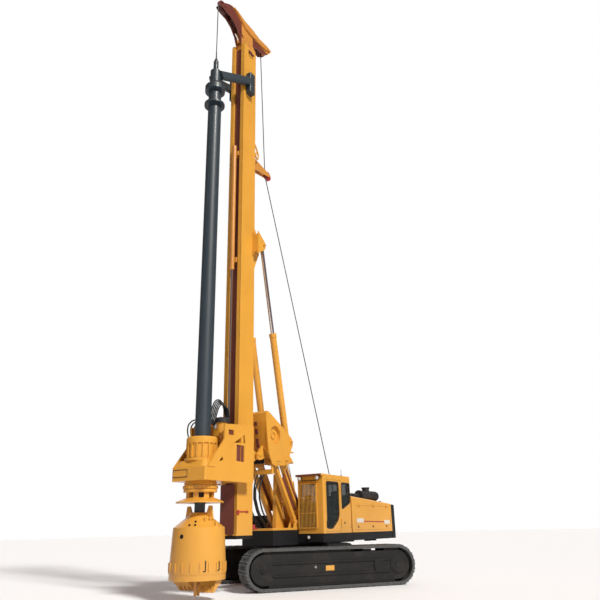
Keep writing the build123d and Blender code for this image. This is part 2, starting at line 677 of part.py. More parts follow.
# Console along the cab's inner wall and the seat beside it
FLOOR = DECK_TOP + CAB_WALL
CONSOLE_Y = (CAB_INNER + CAB_WALL + 35, CAB_INNER + CAB_WALL + 155)
SEAT_ROOM = 85.0
SEAT_Y = (CONSOLE_Y[1] + SEAT_ROOM, DECK_HALF - CAB_WALL - SEAT_ROOM)
with BuildPart() as operator_seat:
    with BuildSketch(side((SEAT_Y[0] + SEAT_Y[1]) / 2)):
        outline(((60, FLOOR), (420, FLOOR), (420, FLOOR + 330), (560, FLOOR + 340), (560, FLOOR + 470),
                 (150, FLOOR + 440), (40, FLOOR + 1160), (-80, FLOOR + 1160), (20, FLOOR + 330), (60, FLOOR + 330)))
    extrude(amount=(SEAT_Y[1] - SEAT_Y[0]) / 2, both=True)
    fillet(operator_seat.edges().filter_by(Axis.Y).sort_by(Axis.Z)[-2:], 40)
save("operator_seat", operator_seat)

with BuildPart() as control_console:
    with BuildSketch(side((CONSOLE_Y[0] + CONSOLE_Y[1]) / 2)):
        outline(((350, FLOOR), (1250, FLOOR), (1250, FLOOR + 780), (1150, FLOOR + 900), (1040, FLOOR + 880),
                 (940, FLOOR + 620), (350, FLOOR + 560)))
    extrude(amount=(CONSOLE_Y[1] - CONSOLE_Y[0]) / 2, both=True)
save("control_console", control_console)

# Stepped box at the right front corner of the deck
with BuildPart() as front_box:
    with BuildSketch(side(-1120)):
        outline(((520, DECK_TOP), (1300, DECK_TOP), (1300, 1700), (1050, 1700), (1050, 2000), (520, 2000)))
    extrude(amount=320, both=True)
save("front_box", front_box)

# Winch: cheeks on the deck between the hoods, drum with two flanges
SHAFT_R = 60.0
CHEEK = 40.0
with BuildPart() as winch_frame:
    with BuildSketch(Plane.XY.offset(DECK_TOP)):
        with Locations((WINCH[0], 0)):
            Rectangle(900, 2 * (WINCH_HALF + CHEEK + 20))
    extrude(amount=40)
    for y in (WINCH_HALF + CHEEK / 2, -WINCH_HALF - CHEEK / 2):
        with BuildSketch(side(y)):
            outline(((WINCH[0] - 420, DECK_TOP + 20), (WINCH[0] + 420, DECK_TOP + 20),
                     (WINCH[0] + 160, WINCH[1] + 150), (WINCH[0] - 160, WINCH[1] + 150)))
        extrude(amount=CHEEK / 2 - SEAT, both=True)
    with BuildSketch(side(0, WINCH[0], WINCH[1])):
        Circle(SHAFT_R)
    extrude(amount=WINCH_HALF + CHEEK / 2, both=True)
save("winch_frame", winch_frame)

with BuildPart() as winch_drum:
    with BuildSketch(side(0, WINCH[0], WINCH[1])):
        Circle(DRUM_BARREL_R)
    extrude(amount=WINCH_HALF, both=True)
    for y in (WINCH_HALF - 20, 20 - WINCH_HALF):
        with BuildSketch(side(y, WINCH[0], WINCH[1])):
            Circle(WINCH_FLANGE_R)
        extrude(amount=20, both=True)
    with BuildSketch(side(0, WINCH[0], WINCH[1])):
        Circle(SHAFT_R + ROD_FIT)
    extrude(amount=WINCH_HALF + CHEEK, both=True, mode=Mode.SUBTRACT)
save("winch_drum", winch_drum)

# Boom arms: the rear pair of links with a cross tube
LINK_LENGTH = math.hypot(*LINK_REACH)
PIN_BORE = PIN_R + ROD_FIT
CROSS_TUBE_AT = 0.3
CROSS_TUBE_R = 70.0
with BuildPart() as boom_arms:
    with BuildSketch(link_side(ARM_FOOT, ARM_HEAD, ARM_Y)):
        with Locations((LINK_LENGTH / 2, 0)):
            SlotCenterToCenter(LINK_LENGTH, 180)
        outline(((150, -90), (0.35 * LINK_LENGTH, -ARM_DEPTH / 2), (0.75 * LINK_LENGTH, -ARM_DEPTH / 2),
                 (LINK_LENGTH - 100, -80), (LINK_LENGTH - 100, 80), (150, 90)))
        with Locations((0, 0), (LINK_LENGTH, 0)):
            Circle(PIN_BORE, mode=Mode.SUBTRACT)
    extrude(amount=ARM_WIDTH / 2, both=True)
    with BuildSketch(link_side(ARM_FOOT, ARM_HEAD, ARM_Y / 2)):
        with Locations((CROSS_TUBE_AT * LINK_LENGTH, 30)):
            Circle(CROSS_TUBE_R)
    extrude(amount=ARM_Y / 2, both=True)
    mirror(about=Plane.XZ)
save("boom_arms", boom_arms)

# Struts: the slim front pair of links
with BuildPart() as boom_struts:
    with BuildSketch(link_side(STRUT_FOOT, STRUT_HEAD, ARM_Y)):
        with Locations((LINK_LENGTH / 2, 0)):
            SlotCenterToCenter(LINK_LENGTH, 1.4 * STRUT_DEPTH)
            Rectangle(0.84 * LINK_LENGTH, 1.5 * STRUT_DEPTH, mode=Mode.SUBTRACT)
            Rectangle(0.88 * LINK_LENGTH, STRUT_DEPTH)
        with Locations((0, 0), (LINK_LENGTH, 0)):
            Circle(PIN_BORE, mode=Mode.SUBTRACT)
    extrude(amount=ARM_WIDTH / 2, both=True)
    mirror(about=Plane.XZ)
save("boom_struts", boom_struts)


def barrel_pair(foot, head, y, eye_width, radius, rod_radius, length):
    """Two barrels, each with a bore for its rod and an eye on its foot pin."""
    with BuildPart() as barrels:
        with BuildSketch(link_side(foot, head, y)):
            Circle(0.9 * radius)
            with Locations((0.8 * radius, 0)):
                Rectangle(1.6 * radius, 1.4 * radius)
        extrude(amount=eye_width / 2, both=True)
        with BuildSketch(link_axis(foot, head, y, 1.5 * radius)):
            Circle(radius)
        extrude(amount=length - 1.5 * radius)
        with BuildSketch(link_axis(foot, head, y, length - 120)):
            Circle(1.12 * radius)
        extrude(amount=120)
        with BuildSketch(link_axis(foot, head, y, 2.2 * radius)):
            Circle(rod_radius + ROD_FIT)
        extrude(amount=length, mode=Mode.SUBTRACT)
        with BuildSketch(side(y, foot[0], foot[1])):
            Circle(PIN_BORE)
        extrude(amount=eye_width, both=True, mode=Mode.SUBTRACT)
        mirror(about=Plane.XZ)
    return barrels


def rod_pair(foot, head, y, eye_width, eye_radius, rod_radius, start):
    """Two rods, each from inside its barrel to the eye between the head's ears."""
    with BuildPart() as rods:
        with BuildSketch(link_axis(foot, head, y, start)):
            Circle(rod_radius)
        extrude(amount=math.dist(foot, head) - start)
        with BuildSketch(side(y, head[0], head[1])):
            Circle(eye_radius)
        extrude(amount=eye_width / 2, both=True)
        mirror(about=Plane.XZ)
    return rods


luff_barrels = barrel_pair(LUFF_FOOT, LUFF_HEAD, LUFF_Y, LUFF_EYE, LUFF_BARREL_R, LUFF_ROD_R, LUFF_BARREL)
save("luff_barrels", luff_barrels)
luff_rods = rod_pair(LUFF_FOOT, LUFF_HEAD, LUFF_Y, LUFF_EYE, 75, LUFF_ROD_R, LUFF_BARREL - 700)
save("luff_rods", luff_rods)

# Carrier: two side plates with a front plate between, carried by arms and struts
CARRIER_SIDE = ((3040.0, 4790.0), (2985.0, 4850.0), (2880.0, 4830.0), (2150.0, 4460.0), (1660.0, 4180.0),
                (1600.0, 3980.0), (1700.0, 3840.0), (1800.0, 3640.0), (1880.0, 3370.0), (2560.0, 3310.0),
                (2715.0, 3350.0), (2905.0, 3660.0), (3030.0, 4530.0))
# Dished recess with a ring on its floor, in each side plate
DISH_AT = (2560.0, 4195.0)
DISH_R = 262.0
DISH_DEPTH = 110.0
DISH_WALL = 14.0
DISH_RING_R = 112.0
# Tail of the carrier over the luffing rods
TAIL_ROOF = ((1120.0, 3530.0), (1340.0, 3735.0), (1624.0, 3822.0), (1900.0, 3790.0))
TAIL_SIDE = TAIL_ROOF + ((1900.0, 3430.0), (1520.0, 3460.0))
ROOF = 34.0
STAY_EYE = 136.0
with BuildPart() as carrier_frame:
    with BuildSketch(side(CARRIER_Y + CARRIER_PLATE / 2)):
        outline(CARRIER_SIDE)
        with Locations(DISH_AT):
            Circle(DISH_R, mode=Mode.SUBTRACT)
    extrude(amount=CARRIER_PLATE / 2, both=True)
    with BuildSketch(side(CARRIER_Y + CARRIER_PLATE - DISH_DEPTH / 2, DISH_AT[0], DISH_AT[1])):
        Circle(DISH_R + DISH_WALL)
        Circle(DISH_R, mode=Mode.SUBTRACT)
    extrude(amount=DISH_DEPTH / 2, both=True)
    with BuildSketch(side(CARRIER_Y + CARRIER_PLATE - DISH_DEPTH + DISH_WALL / 2, DISH_AT[0], DISH_AT[1])):
        Circle(DISH_R + DISH_WALL)
    extrude(amount=DISH_WALL / 2, both=True)
    with BuildSketch(side(CARRIER_Y + CARRIER_PLATE - DISH_DEPTH + DISH_WALL, DISH_AT[0], DISH_AT[1])):
        Circle(DISH_RING_R)
        Circle(DISH_RING_R - 34, mode=Mode.SUBTRACT)
    extrude(amount=-26)
    with BuildSketch(side(CARRIER_Y / 2)):
        outline(((2985, 4850), (3040, 4790), (3025, 4530), (2890, 3790), (2600, 3520), (2560, 3560), (2830, 3800),
                 (2975, 4530), (2985, 4770), (2945, 4840)))
        outline(((2400, 3720), (1500, 3760), (1500, 3800), (2400, 3760)))
    extrude(amount=CARRIER_Y / 2 + 1, both=True)
    # Inner ears of the arm and strut heads, hung from the floor of the box
    with BuildSketch(side(ARM_Y - ARM_WIDTH / 2 - PLAY - EAR / 2)):
        outline(((1860, 3740), (1880, 3380), (2560, 3330), (2600, 3540), (2400, 3740)))
    extrude(amount=EAR / 2, both=True)
    for x, z in (ARM_HEAD, STRUT_HEAD):
        with BuildSketch(side((ARM_Y - ARM_WIDTH / 2 - PLAY + CARRIER_Y) / 2, x, z)):
            Circle(PIN_R)
        extrude(amount=(CARRIER_Y - ARM_Y + ARM_WIDTH / 2 + PLAY) / 2 + 1, both=True)
    # Ears round the luffing rods' eyes, at the tail of the box, under a bent roof
    with BuildSketch(side(LUFF_EAR_IN)):
        outline(((1240, 3480), (1480, 3480), (1640, 3790), (1500, 3770), (1260, 3650)))
    extrude(amount=EAR / 2, both=True)
    with BuildSketch(side(LUFF_EAR_OUT)):
        outline(TAIL_SIDE)
    extrude(amount=EAR / 2, both=True)
    with BuildSketch(side((LUFF_EAR_OUT + EAR / 2) / 2)):
        outline(TAIL_ROOF + tuple((x + 12, z - ROOF) for x, z in reversed(TAIL_ROOF)))
    extrude(amount=(LUFF_EAR_OUT + EAR / 2) / 2, both=True)
    # Pins of the stay barrels
    with BuildSketch(side((STAY_Y - STAY_EYE / 2 - PLAY + CARRIER_Y) / 2, STAY_FOOT[0], STAY_FOOT[1])):
        Circle(PIN_R)
    extrude(amount=(CARRIER_Y - STAY_Y + STAY_EYE / 2 + PLAY) / 2 + 1, both=True)
    with BuildSketch(side(STAY_Y - STAY_EYE / 2 - PLAY - EAR / 2)):
        outline(((1600, 3770), (1620, 4110), (1780, 4110), (1900, 3740)))
    extrude(amount=EAR / 2, both=True)
    # Ears of the mast's pivot
    with BuildSketch(side(MAST_HALF + 55)):
        outline(((2660, 3560), (MAST_PIVOT[0] - 60, MAST_PIVOT[1] - 110), (MAST_PIVOT[0] + 90, MAST_PIVOT[1] - 90),
                 (MAST_PIVOT[0] + 100, MAST_PIVOT[1] + 60), (MAST_PIVOT[0], MAST_PIVOT[1] + 130), (2830, 3960)))
    extrude(amount=25, both=True)
    with BuildSketch(side(0, MAST_PIVOT[0], MAST_PIVOT[1])):
        Circle(PIN_R)
    extrude(amount=MAST_HALF + 80)
    mirror(about=Plane.XZ)
save("carrier_frame", carrier_frame)

stay_barrels = barrel_pair(STAY_FOOT, STAY_HEAD, STAY_Y, STAY_EYE, STAY_BARREL_R, STAY_ROD_R, STAY_BARREL)
save("stay_barrels", stay_barrels)
stay_rods = rod_pair(STAY_FOOT, STAY_HEAD, STAY_Y, STAY_EYE, 95, STAY_ROD_R, STAY_BARREL - 1200)
save("stay_rods", stay_rods)

# Mast: a box column with two rails down its front and the gusset of the stays behind
GUSSET = ((MAST_REAR + 1, 9350.0), (STAY_HEAD[0] - 60, 9950.0), (STAY_HEAD[0] - 90, 10200.0),
          (STAY_HEAD[0] - 60, 10400.0), (MAST_REAR + 1, 10850.0))
with BuildPart() as mast_column:
    with BuildSketch(Plane.XY.offset(MAST_BOTTOM)):
        with Locations(((MAST_REAR + MAST_FRONT - RAIL_DEPTH) / 2, 0)):
            Rectangle(MAST_FRONT - RAIL_DEPTH - MAST_REAR, MAST_WIDTH)
            Rectangle(MAST_FRONT - RAIL_DEPTH - MAST_REAR - 2 * MAST_WALL, MAST_WIDTH - 2 * MAST_WALL,
                      mode=Mode.SUBTRACT)
        with Locations((MAST_FRONT - RAIL_DEPTH / 2 - 1, MAST_HALF - RAIL_WIDTH / 2),
                       (MAST_FRONT - RAIL_DEPTH / 2 - 1, RAIL_WIDTH / 2 - MAST_HALF)):
            Rectangle(RAIL_DEPTH + 2, RAIL_WIDTH)
    extrude(amount=MAST_TOP - MAST_BOTTOM)
    for y in (STAY_Y - STAY_EYE / 2 - PLAY - EAR / 2, STAY_Y + STAY_EYE / 2 + PLAY + EAR / 2):
        with BuildSketch(side(y)):
            outline(((MAST_REAR + 120, 9800), (STAY_HEAD[0] - 60, 10080), (STAY_HEAD[0] - 90, 10200),
                     (STAY_HEAD[0] - 60, 10320), (MAST_REAR + 120, 10600)))
        extrude(amount=EAR / 2, both=True)
    with BuildSketch(side(STAY_Y - 60)):
        with Locations((MAST_REAR + 90, 10200)):
            Rectangle(60, 620)
    extrude(amount=STAY_EYE / 2 + PLAY + EAR + 60, both=True)
    mirror(about=Plane.XZ)
    with BuildSketch(side()):
        outline(GUSSET)
    extrude(amount=MAST_HALF - 10, both=True)
    # Pivot bracket behind the mast's foot section
    with BuildSketch(side()):
        outline(((MAST_REAR + 1, 3380), (MAST_PIVOT[0] - 40, MAST_PIVOT[1] - 90), (MAST_PIVOT[0] - 90, MAST_PIVOT[1]),
                 (MAST_PIVOT[0] - 40, MAST_PIVOT[1] + 90), (MAST_REAR + 1, 3740)))
        with Locations(MAST_PIVOT):
            Circle(PIN_BORE, mode=Mode.SUBTRACT)
    extrude(amount=MAST_HALF - 10, both=True)
save("mast_column", mast_column)

with BuildPart() as mast_foot:
    with BuildSketch(Plane.XY.offset(FOOT_BOTTOM)):
        with Locations(((MAST_REAR + MAST_FRONT) / 2, 0)):
            RectangleRounded(MAST_FRONT - MAST_REAR + 20, MAST_WIDTH + 20, 30)
    extrude(amount=MAST_BOTTOM - FOOT_BOTTOM)
save("mast_foot", mast_foot)

# Crown: two narrow cheeks over the mast's top that hold the sheaves
CROWN = ((3300.0, MAST_TOP), (3960.0, MAST_TOP), (4083.0, 18323.0), (4319.0, 18603.0), (4622.0, 18740.0),
         (4877.0, 18746.0), (5110.0, 18785.0), (5150.0, 18840.0), (4962.0, 19056.0), (4714.0, 19219.0),
         (4531.0, 19291.0), (4212.0, 19350.0), (3779.0, 19246.0), (3253.0, 19230.0), (2834.0, 19150.0),
         (2360.0, 19200.0), (2100.0, 19170.0), (2060.0, 19110.0), (2317.0, 18787.0), (2619.0, 18567.0),
         (2914.0, 18560.0), (3121.0, 18500.0), (3270.0, 18260.0))
# Rib that runs along each cheek's outer face
CROWN_RIB = ((4460.0, 19270.0), (4323.0, 19229.0), (4010.0, 19047.0), (3771.0, 18886.0), (3411.0, 18852.0),
             (2958.0, 18853.0), (2491.0, 18916.0), (2185.0, 19064.0))
RIB_THICK = 26.0
RIB_OUT = 70.0
with BuildPart() as crown_frame:
    with BuildSketch(side(CROWN_HALF)):
        outline(CROWN)
        with Locations((3950, 18455)):
            SlotOverall(290, 112, rotation=40, mode=Mode.SUBTRACT)
    extrude(amount=CROWN_PLATE / 2, both=True)
    with BuildSketch(side(CROWN_HALF + RIB_OUT / 2)):
        outline(CROWN_RIB + tuple((x, z - RIB_THICK) for x, z in reversed(CROWN_RIB)))
    extrude(amount=RIB_OUT / 2, both=True)
    for x, z in (FRONT_SHEAVE, REAR_SHEAVE):
        with BuildSketch(side(0, x, z)):
            Circle(PIN_R)
        extrude(amount=-CROWN_HALF)
        with BuildSketch(side(CROWN_HALF + CROWN_PLATE / 2, x, z)):
            Circle(PIN_R + 30)
        extrude(amount=-14)
    # Gussets that carry the mast's sides up to the cheeks
    with BuildSketch(side(MAST_HALF - MAST_WALL / 2)):
        outline(((MAST_REAR + 20, MAST_TOP), (3960, MAST_TOP), (3950, MAST_TOP + 90), (3620, MAST_TOP + 330),
                 (3290, MAST_TOP + 90)))
    extrude(amount=MAST_WALL / 2, both=True)
    mirror(about=Plane.XZ)
    with BuildSketch(Plane.XY.offset(MAST_TOP)):
        with Locations((3620, 0)):
            Rectangle(640, MAST_WIDTH)
    extrude(amount=30)
    with BuildSketch(Plane.XY.offset(MAST_TOP)):
        with Locations((3620, 0)):
            Rectangle(40, MAST_WIDTH - 2)
    extrude(amount=300)
    with BuildSketch(side()):
        with Locations((3620, 18980)):
            Rectangle(420, 60)
        with Locations((3640, 18250)):
            Rectangle(480, 50)
        with Locations((4400, 18990)):
            Rectangle(50, 300)
    extrude(amount=CROWN_HALF, both=True)
save("crown_frame", crown_frame)


def sheave(place, radius, width, bore):
    """Grooved rope sheave with thin webs and a hub, free on its pin."""
    x, z = place
    with BuildPart() as wheel:
        with BuildSketch(side(0, x, z)):
            Circle(radius)
        extrude(amount=width / 2, both=True)
        with BuildSketch(Plane(origin=(x, 0, z), x_dir=(1, 0, 0), z_dir=(0, 0, 1))):
            with Locations((radius, 0)):
                Circle(width / 2 - 14)
        revolve(axis=Axis((x, 0, z), (0, 1, 0)), mode=Mode.SUBTRACT)
        for face_y in (width / 2, -width / 2):
            with BuildSketch(side(face_y, x, z)):
                Circle(0.72 * radius)
                Circle(0.3 * radius, mode=Mode.SUBTRACT)
            extrude(amount=0.3 * width, both=True, mode=Mode.SUBTRACT)
        with BuildSketch(side(0, x, z)):
            Circle(bore)
        extrude(amount=width, both=True, mode=Mode.SUBTRACT)
    return wheel


save("front_sheave", sheave(FRONT_SHEAVE, SHEAVE_R, SHEAVE_WIDTH, PIN_BORE))
save("rear_sheave", sheave(REAR_SHEAVE, SHEAVE_R, SHEAVE_WIDTH, PIN_BORE))

# Bracket and sheave that lead the hoist rope behind the mast
with BuildPart() as sheave_bracket:
    with BuildSketch(side(80)):
        outline(((MAST_REAR, 13220), (MAST_REAR, 13700), (MAST_REAR - 200, 13690), (GUIDE_SHEAVE[0] - 30, 13505),
                 (GUIDE_SHEAVE[0] - 50, 13430), (GUIDE_SHEAVE[0] + 20, 13390)))
    extrude(amount=12, both=True)
    with BuildSketch(side(0, GUIDE_SHEAVE[0], GUIDE_SHEAVE[1])):
        Circle(PIN_R - 15)
    extrude(amount=-80)
    mirror(about=Plane.XZ)
    with BuildSketch(side()):
        with Locations((MAST_REAR - 300, 13560)):
            Rectangle(260, 40)
    extrude(amount=80, both=True)
save("sheave_bracket", sheave_bracket)

save("guide_sheave", sheave(GUIDE_SHEAVE, GUIDE_SHEAVE_R, 80, PIN_BORE - 15))

# Crowd cylinder: the barrel lies in the mast's front channel, its rod carries the power head
with BuildPart() as crowd_barrel:
    with BuildSketch(Plane.XY.offset(CROWD_BARREL_BOTTOM)):
        with Locations((CROWD_X, 0)):
            Circle(CROWD_BARREL_R)
    extrude(amount=CROWD_BARREL_TOP - CROWD_BARREL_BOTTOM)
    for z in (CROWD_BARREL_BOTTOM + 250, CROWD_BARREL_TOP - 350):
        with BuildSketch(Plane.XY.offset(z)):
            with Locations((MAST_FRONT + 30, 0)):
                Rectangle(60, 260)
            with Locations(((MAST_FRONT - RAIL_DEPTH + CROWD_X) / 2, 0)):
                Rectangle(CROWD_X - MAST_FRONT + RAIL_DEPTH, 80)
        extrude(amount=160)
    with BuildSketch(Plane.XY.offset(CROWD_BARREL_BOTTOM)):
        with Locations((CROWD_X, 0)):
            Circle(CROWD_ROD_R + ROD_FIT)
    extrude(amount=CROWD_BARREL_TOP - CROWD_BARREL_BOTTOM - 80, mode=Mode.SUBTRACT)
save("crowd_barrel", crowd_barrel)

with BuildPart() as crowd_rod:
    with BuildSketch(Plane.XY.offset(CROWD_ROD_BOTTOM)):
        with Locations((CROWD_X, 0)):
            Circle(CROWD_ROD_R)
    extrude(amount=CROWD_ROD_TOP - CROWD_ROD_BOTTOM)
save("crowd_rod", crowd_rod)

# Head carriage: bottom plate round the kelly, side plates and a back that slides on the mast
SHOE_PLAY = 6.0
BACK_X = (4140.0, 4230.0)
JAW_REAR = 3660.0
HEAD_CORNER = 50.0
HEAD_NOSE = KELLY_X + HEAD_FRONT
HEAD_SIDE = ((JAW_REAR, HEAD_BOTTOM), (HEAD_NOSE - HEAD_CORNER, HEAD_BOTTOM), (HEAD_NOSE - HEAD_CORNER, HEAD_TOP),
             (4976.0, 3815.0), (4976.0, 4216.0), (3720.0, 4335.0), (JAW_REAR, 4280.0))
BRACE = ((HEAD_NOSE - HEAD_CORNER, HEAD_TOP), (4976.0, 3815.0), (4976.0, 4216.0), (4830.0, 4216.0), (4830.0, 3880.0),
         (4060.0, 4180.0), (3960.0, 4100.0), (4800.0, 3640.0), (5330.0, HEAD_TOP))
BRACE_OUT = 16.0
with BuildPart() as head_carriage:
    with BuildSketch(Plane.XY.offset(HEAD_BOTTOM)):
        outline(((BACK_X[0], -HEAD_HALF), (HEAD_NOSE - HEAD_CORNER, -HEAD_HALF), (HEAD_NOSE, -HEAD_HALF + HEAD_CORNER),
                 (HEAD_NOSE, HEAD_HALF - HEAD_CORNER), (HEAD_NOSE - HEAD_CORNER, HEAD_HALF), (BACK_X[0], HEAD_HALF)))
        with Locations((KELLY_X, 0)):
            Circle(HEAD_BORE, mode=Mode.SUBTRACT)
    extrude(amount=HEAD_TOP - HEAD_BOTTOM)
    with BuildSketch(side(HEAD_HALF - HEAD_PLATE / 2)):
        outline(HEAD_SIDE)
        with Locations((4268, 3515)):
            Rectangle(345, 430, mode=Mode.SUBTRACT)
        with Locations((4680, 4025)):
            Rectangle(230, 130, mode=Mode.SUBTRACT)
        outline(((4560, 3770), (4090, 4025), (4050, 3800)), mode=Mode.SUBTRACT)
        outline(((5040, 3390), (5150, 3245), (4995, 3285)), mode=Mode.SUBTRACT)
    extrude(amount=HEAD_PLATE / 2, both=True)
    # Raised brace over the side plate, with its small window
    with BuildSketch(side(HEAD_HALF)):
        outline(BRACE)
        with Locations((4680, 4025)):
            Rectangle(230, 130, mode=Mode.SUBTRACT)
        outline(((4560, 3770), (4090, 4025), (4050, 3800)), mode=Mode.SUBTRACT)
        outline(((5040, 3390), (5150, 3245), (4995, 3285)), mode=Mode.SUBTRACT)
    extrude(amount=-BRACE_OUT)
    # Slide shoes beside the mast, above and below
    for z in (2900, 4080):
        with BuildSketch(Plane.XY.offset(z)):
            with Locations(((JAW_REAR + BACK_X[1]) / 2, (MAST_HALF + SEAT + HEAD_HALF) / 2)):
                Rectangle(BACK_X[1] - JAW_REAR, HEAD_HALF - MAST_HALF - SEAT)
        extrude(amount=130)
    mirror(about=Plane.XZ)
    with BuildSketch(side()):
        with Locations(((BACK_X[0] + BACK_X[1]) / 2, 3530)):
            Rectangle(BACK_X[1] - BACK_X[0], 1480)
    extrude(amount=HEAD_HALF - 1, both=True)
    with BuildSketch(Plane.XY.offset(CROWD_ROD_BOTTOM - 140)):
        with Locations(((CROWD_X + BACK_X[1]) / 2 - 30, 0)):
            Rectangle(BACK_X[1] - CROWD_X + 60, 160)
    extrude(amount=140)
save("head_carriage", head_carriage)

# Gearbox: hipped skirt, ribbed drum and the housing under the drive motors
RIBS = 16
DRUM_FLOOR = SKIRT_TOP + 60
DRUM_RING = (3700.0, 3840.0)
SKIRT_TAPER = 30.0
HOUSING_TOP = HEAD_TOP + 480
with BuildPart() as head_gearbox:
    with BuildSketch(Plane.XY.offset(HEAD_TOP)):
        with Locations((KELLY_X, 0)):
            RectangleRounded(2 * HEAD_FRONT - 20, 2 * (HEAD_HALF - HEAD_PLATE - PLAY), 200)
    extrude(amount=SKIRT_TOP - HEAD_TOP, taper=SKIRT_TAPER)
    with BuildSketch(Plane(origin=(KELLY_X, 0, 0), x_dir=(1, 0, 0), z_dir=(0, -1, 0))):
        outline(((HEAD_BORE, SKIRT_TOP - 1), (DRUM_FLANGE_R, SKIRT_TOP - 1), (DRUM_FLANGE_R, DRUM_FLOOR),
                 (DRUM_R - 30, DRUM_FLOOR), (DRUM_R - 30, DRUM_RING[0]), (DRUM_R + 8, DRUM_RING[0] + 20),
                 (DRUM_R + 8, DRUM_RING[1]), (DRUM_R - 15, DRUM_TOP), (HEAD_BORE, DRUM_TOP)))
    revolve(axis=Axis((KELLY_X, 0, 0), (0, 0, 1)))
    with BuildSketch(Plane.XY.offset(DRUM_FLOOR)):
        with Locations((KELLY_X, 0)):
            with PolarLocations(DRUM_R - 18, RIBS):
                Rectangle(50, 34)
    extrude(amount=DRUM_RING[0] + 30 - DRUM_FLOOR)
    with BuildSketch(Plane.XY.offset(HEAD_TOP)):
        with Locations((4530, 0)):
            Rectangle(500, 900)
    extrude(amount=HOUSING_TOP - HEAD_TOP)
    with BuildSketch(Plane.XY.offset(HEAD_TOP)):
        with Locations((KELLY_X, 0)):
            Circle(HEAD_BORE)
    extrude(amount=DRUM_TOP, mode=Mode.SUBTRACT)
save("head_gearbox", head_gearbox)

# Drive motors: slim below the drum's top, wider over it, each under a black cap
MOTOR_AT = (4670.0, 255.0)
MOTOR_R = 165.0
MOTOR_NECK_R = 118.0
CAP_R = 205.0
CAP_Z = (4305.0, 4435.0)
with BuildPart() as head_motors:
    for y in (MOTOR_AT[1], -MOTOR_AT[1]):
        with BuildSketch(Plane.XY.offset(HOUSING_TOP)):
            with Locations((MOTOR_AT[0], y)):
                Circle(MOTOR_NECK_R)
        extrude(amount=CAP_Z[0] - HOUSING_TOP)
        with BuildSketch(Plane.XY.offset(DRUM_TOP + 15)):
            with Locations((MOTOR_AT[0], y)):
                Circle(MOTOR_R)
        extrude(amount=CAP_Z[0] - DRUM_TOP - 15)
        with BuildSketch(Plane.XY.offset(DRUM_TOP + 60)):
            with Locations((MOTOR_AT[0] + 60, y)):
                Rectangle(250, 150)
        extrude(amount=140)
save("head_motors", head_motors)

with BuildPart() as motor_caps:
    for y in (MOTOR_AT[1], -MOTOR_AT[1]):
        with BuildSketch(Plane.XY.offset(CAP_Z[0])):
            with Locations((MOTOR_AT[0], y)):
                Circle(CAP_R)
        extrude(amount=CAP_Z[1] - CAP_Z[0])
    chamfer(motor_caps.faces().sort_by(Axis.Z)[-2:].edges(), 34)
save("motor_caps", motor_caps)

# Drive adapter under the head: toothed ring, windowed neck and flare
ADAPTER_TEETH = 28
ADAPTER_WINDOWS = 8
NECK_ZONE = (FLARE_BOTTOM + 125, FLARE_BOTTOM + 245)    # foot and top of the windows
ADAPTER_NECK_R = 354.0
ADAPTER_BORE = 250.0
TOOTH_ZONE = (NECK_ZONE[1] + 95, NECK_ZONE[1] + 165)
with BuildPart() as drive_adapter:
    with BuildSketch(Plane(origin=(KELLY_X, 0, 0), x_dir=(1, 0, 0), z_dir=(0, -1, 0))):
        outline(((ADAPTER_BORE, FLARE_BOTTOM), (FLARE_R, FLARE_BOTTOM), (FLARE_R, FLARE_BOTTOM + 28),
                 (440, FLARE_BOTTOM + 100), (ADAPTER_NECK_R + 20, NECK_ZONE[0] - 5), (ADAPTER_NECK_R, NECK_ZONE[0]),
                 (ADAPTER_NECK_R, NECK_ZONE[1]), (428, NECK_ZONE[1] + 12), (428, NECK_ZONE[1] + 78),
                 (405, TOOTH_ZONE[0] - 6), (405, TOOTH_ZONE[1] + 20), (425, TOOTH_ZONE[1] + 40),
                 (390, HEAD_BOTTOM - SEAT), (ADAPTER_BORE, HEAD_BOTTOM - SEAT)))
    revolve(axis=Axis((KELLY_X, 0, 0), (0, 0, 1)))
    with BuildSketch(Plane.XY.offset(TOOTH_ZONE[0])):
        with Locations((KELLY_X, 0)):
            Circle(432)
            Circle(400, mode=Mode.SUBTRACT)
            with PolarLocations(425, ADAPTER_TEETH):
                Rectangle(44, 46)
    extrude(amount=TOOTH_ZONE[1] - TOOTH_ZONE[0])
    with BuildSketch(Plane.XY.offset(NECK_ZONE[0])):
        with Locations((KELLY_X, 0)):
            with PolarLocations((ADAPTER_BORE + ADAPTER_NECK_R) / 2, ADAPTER_WINDOWS):
                Rectangle(180, 135)
    extrude(amount=NECK_ZONE[1] - NECK_ZONE[0], mode=Mode.SUBTRACT)
    # Bolt circle of the flare for a casing driver
    with BuildSketch(Plane.XY.offset(FLARE_BOTTOM)):
        with Locations((KELLY_X, 0)):
            with PolarLocations(CASING_PCD / 2, CASING_BOLTS):
                Circle(CASING_BOLT_R)
    extrude(amount=60, mode=Mode.SUBTRACT)
save("drive_adapter", drive_adapter)

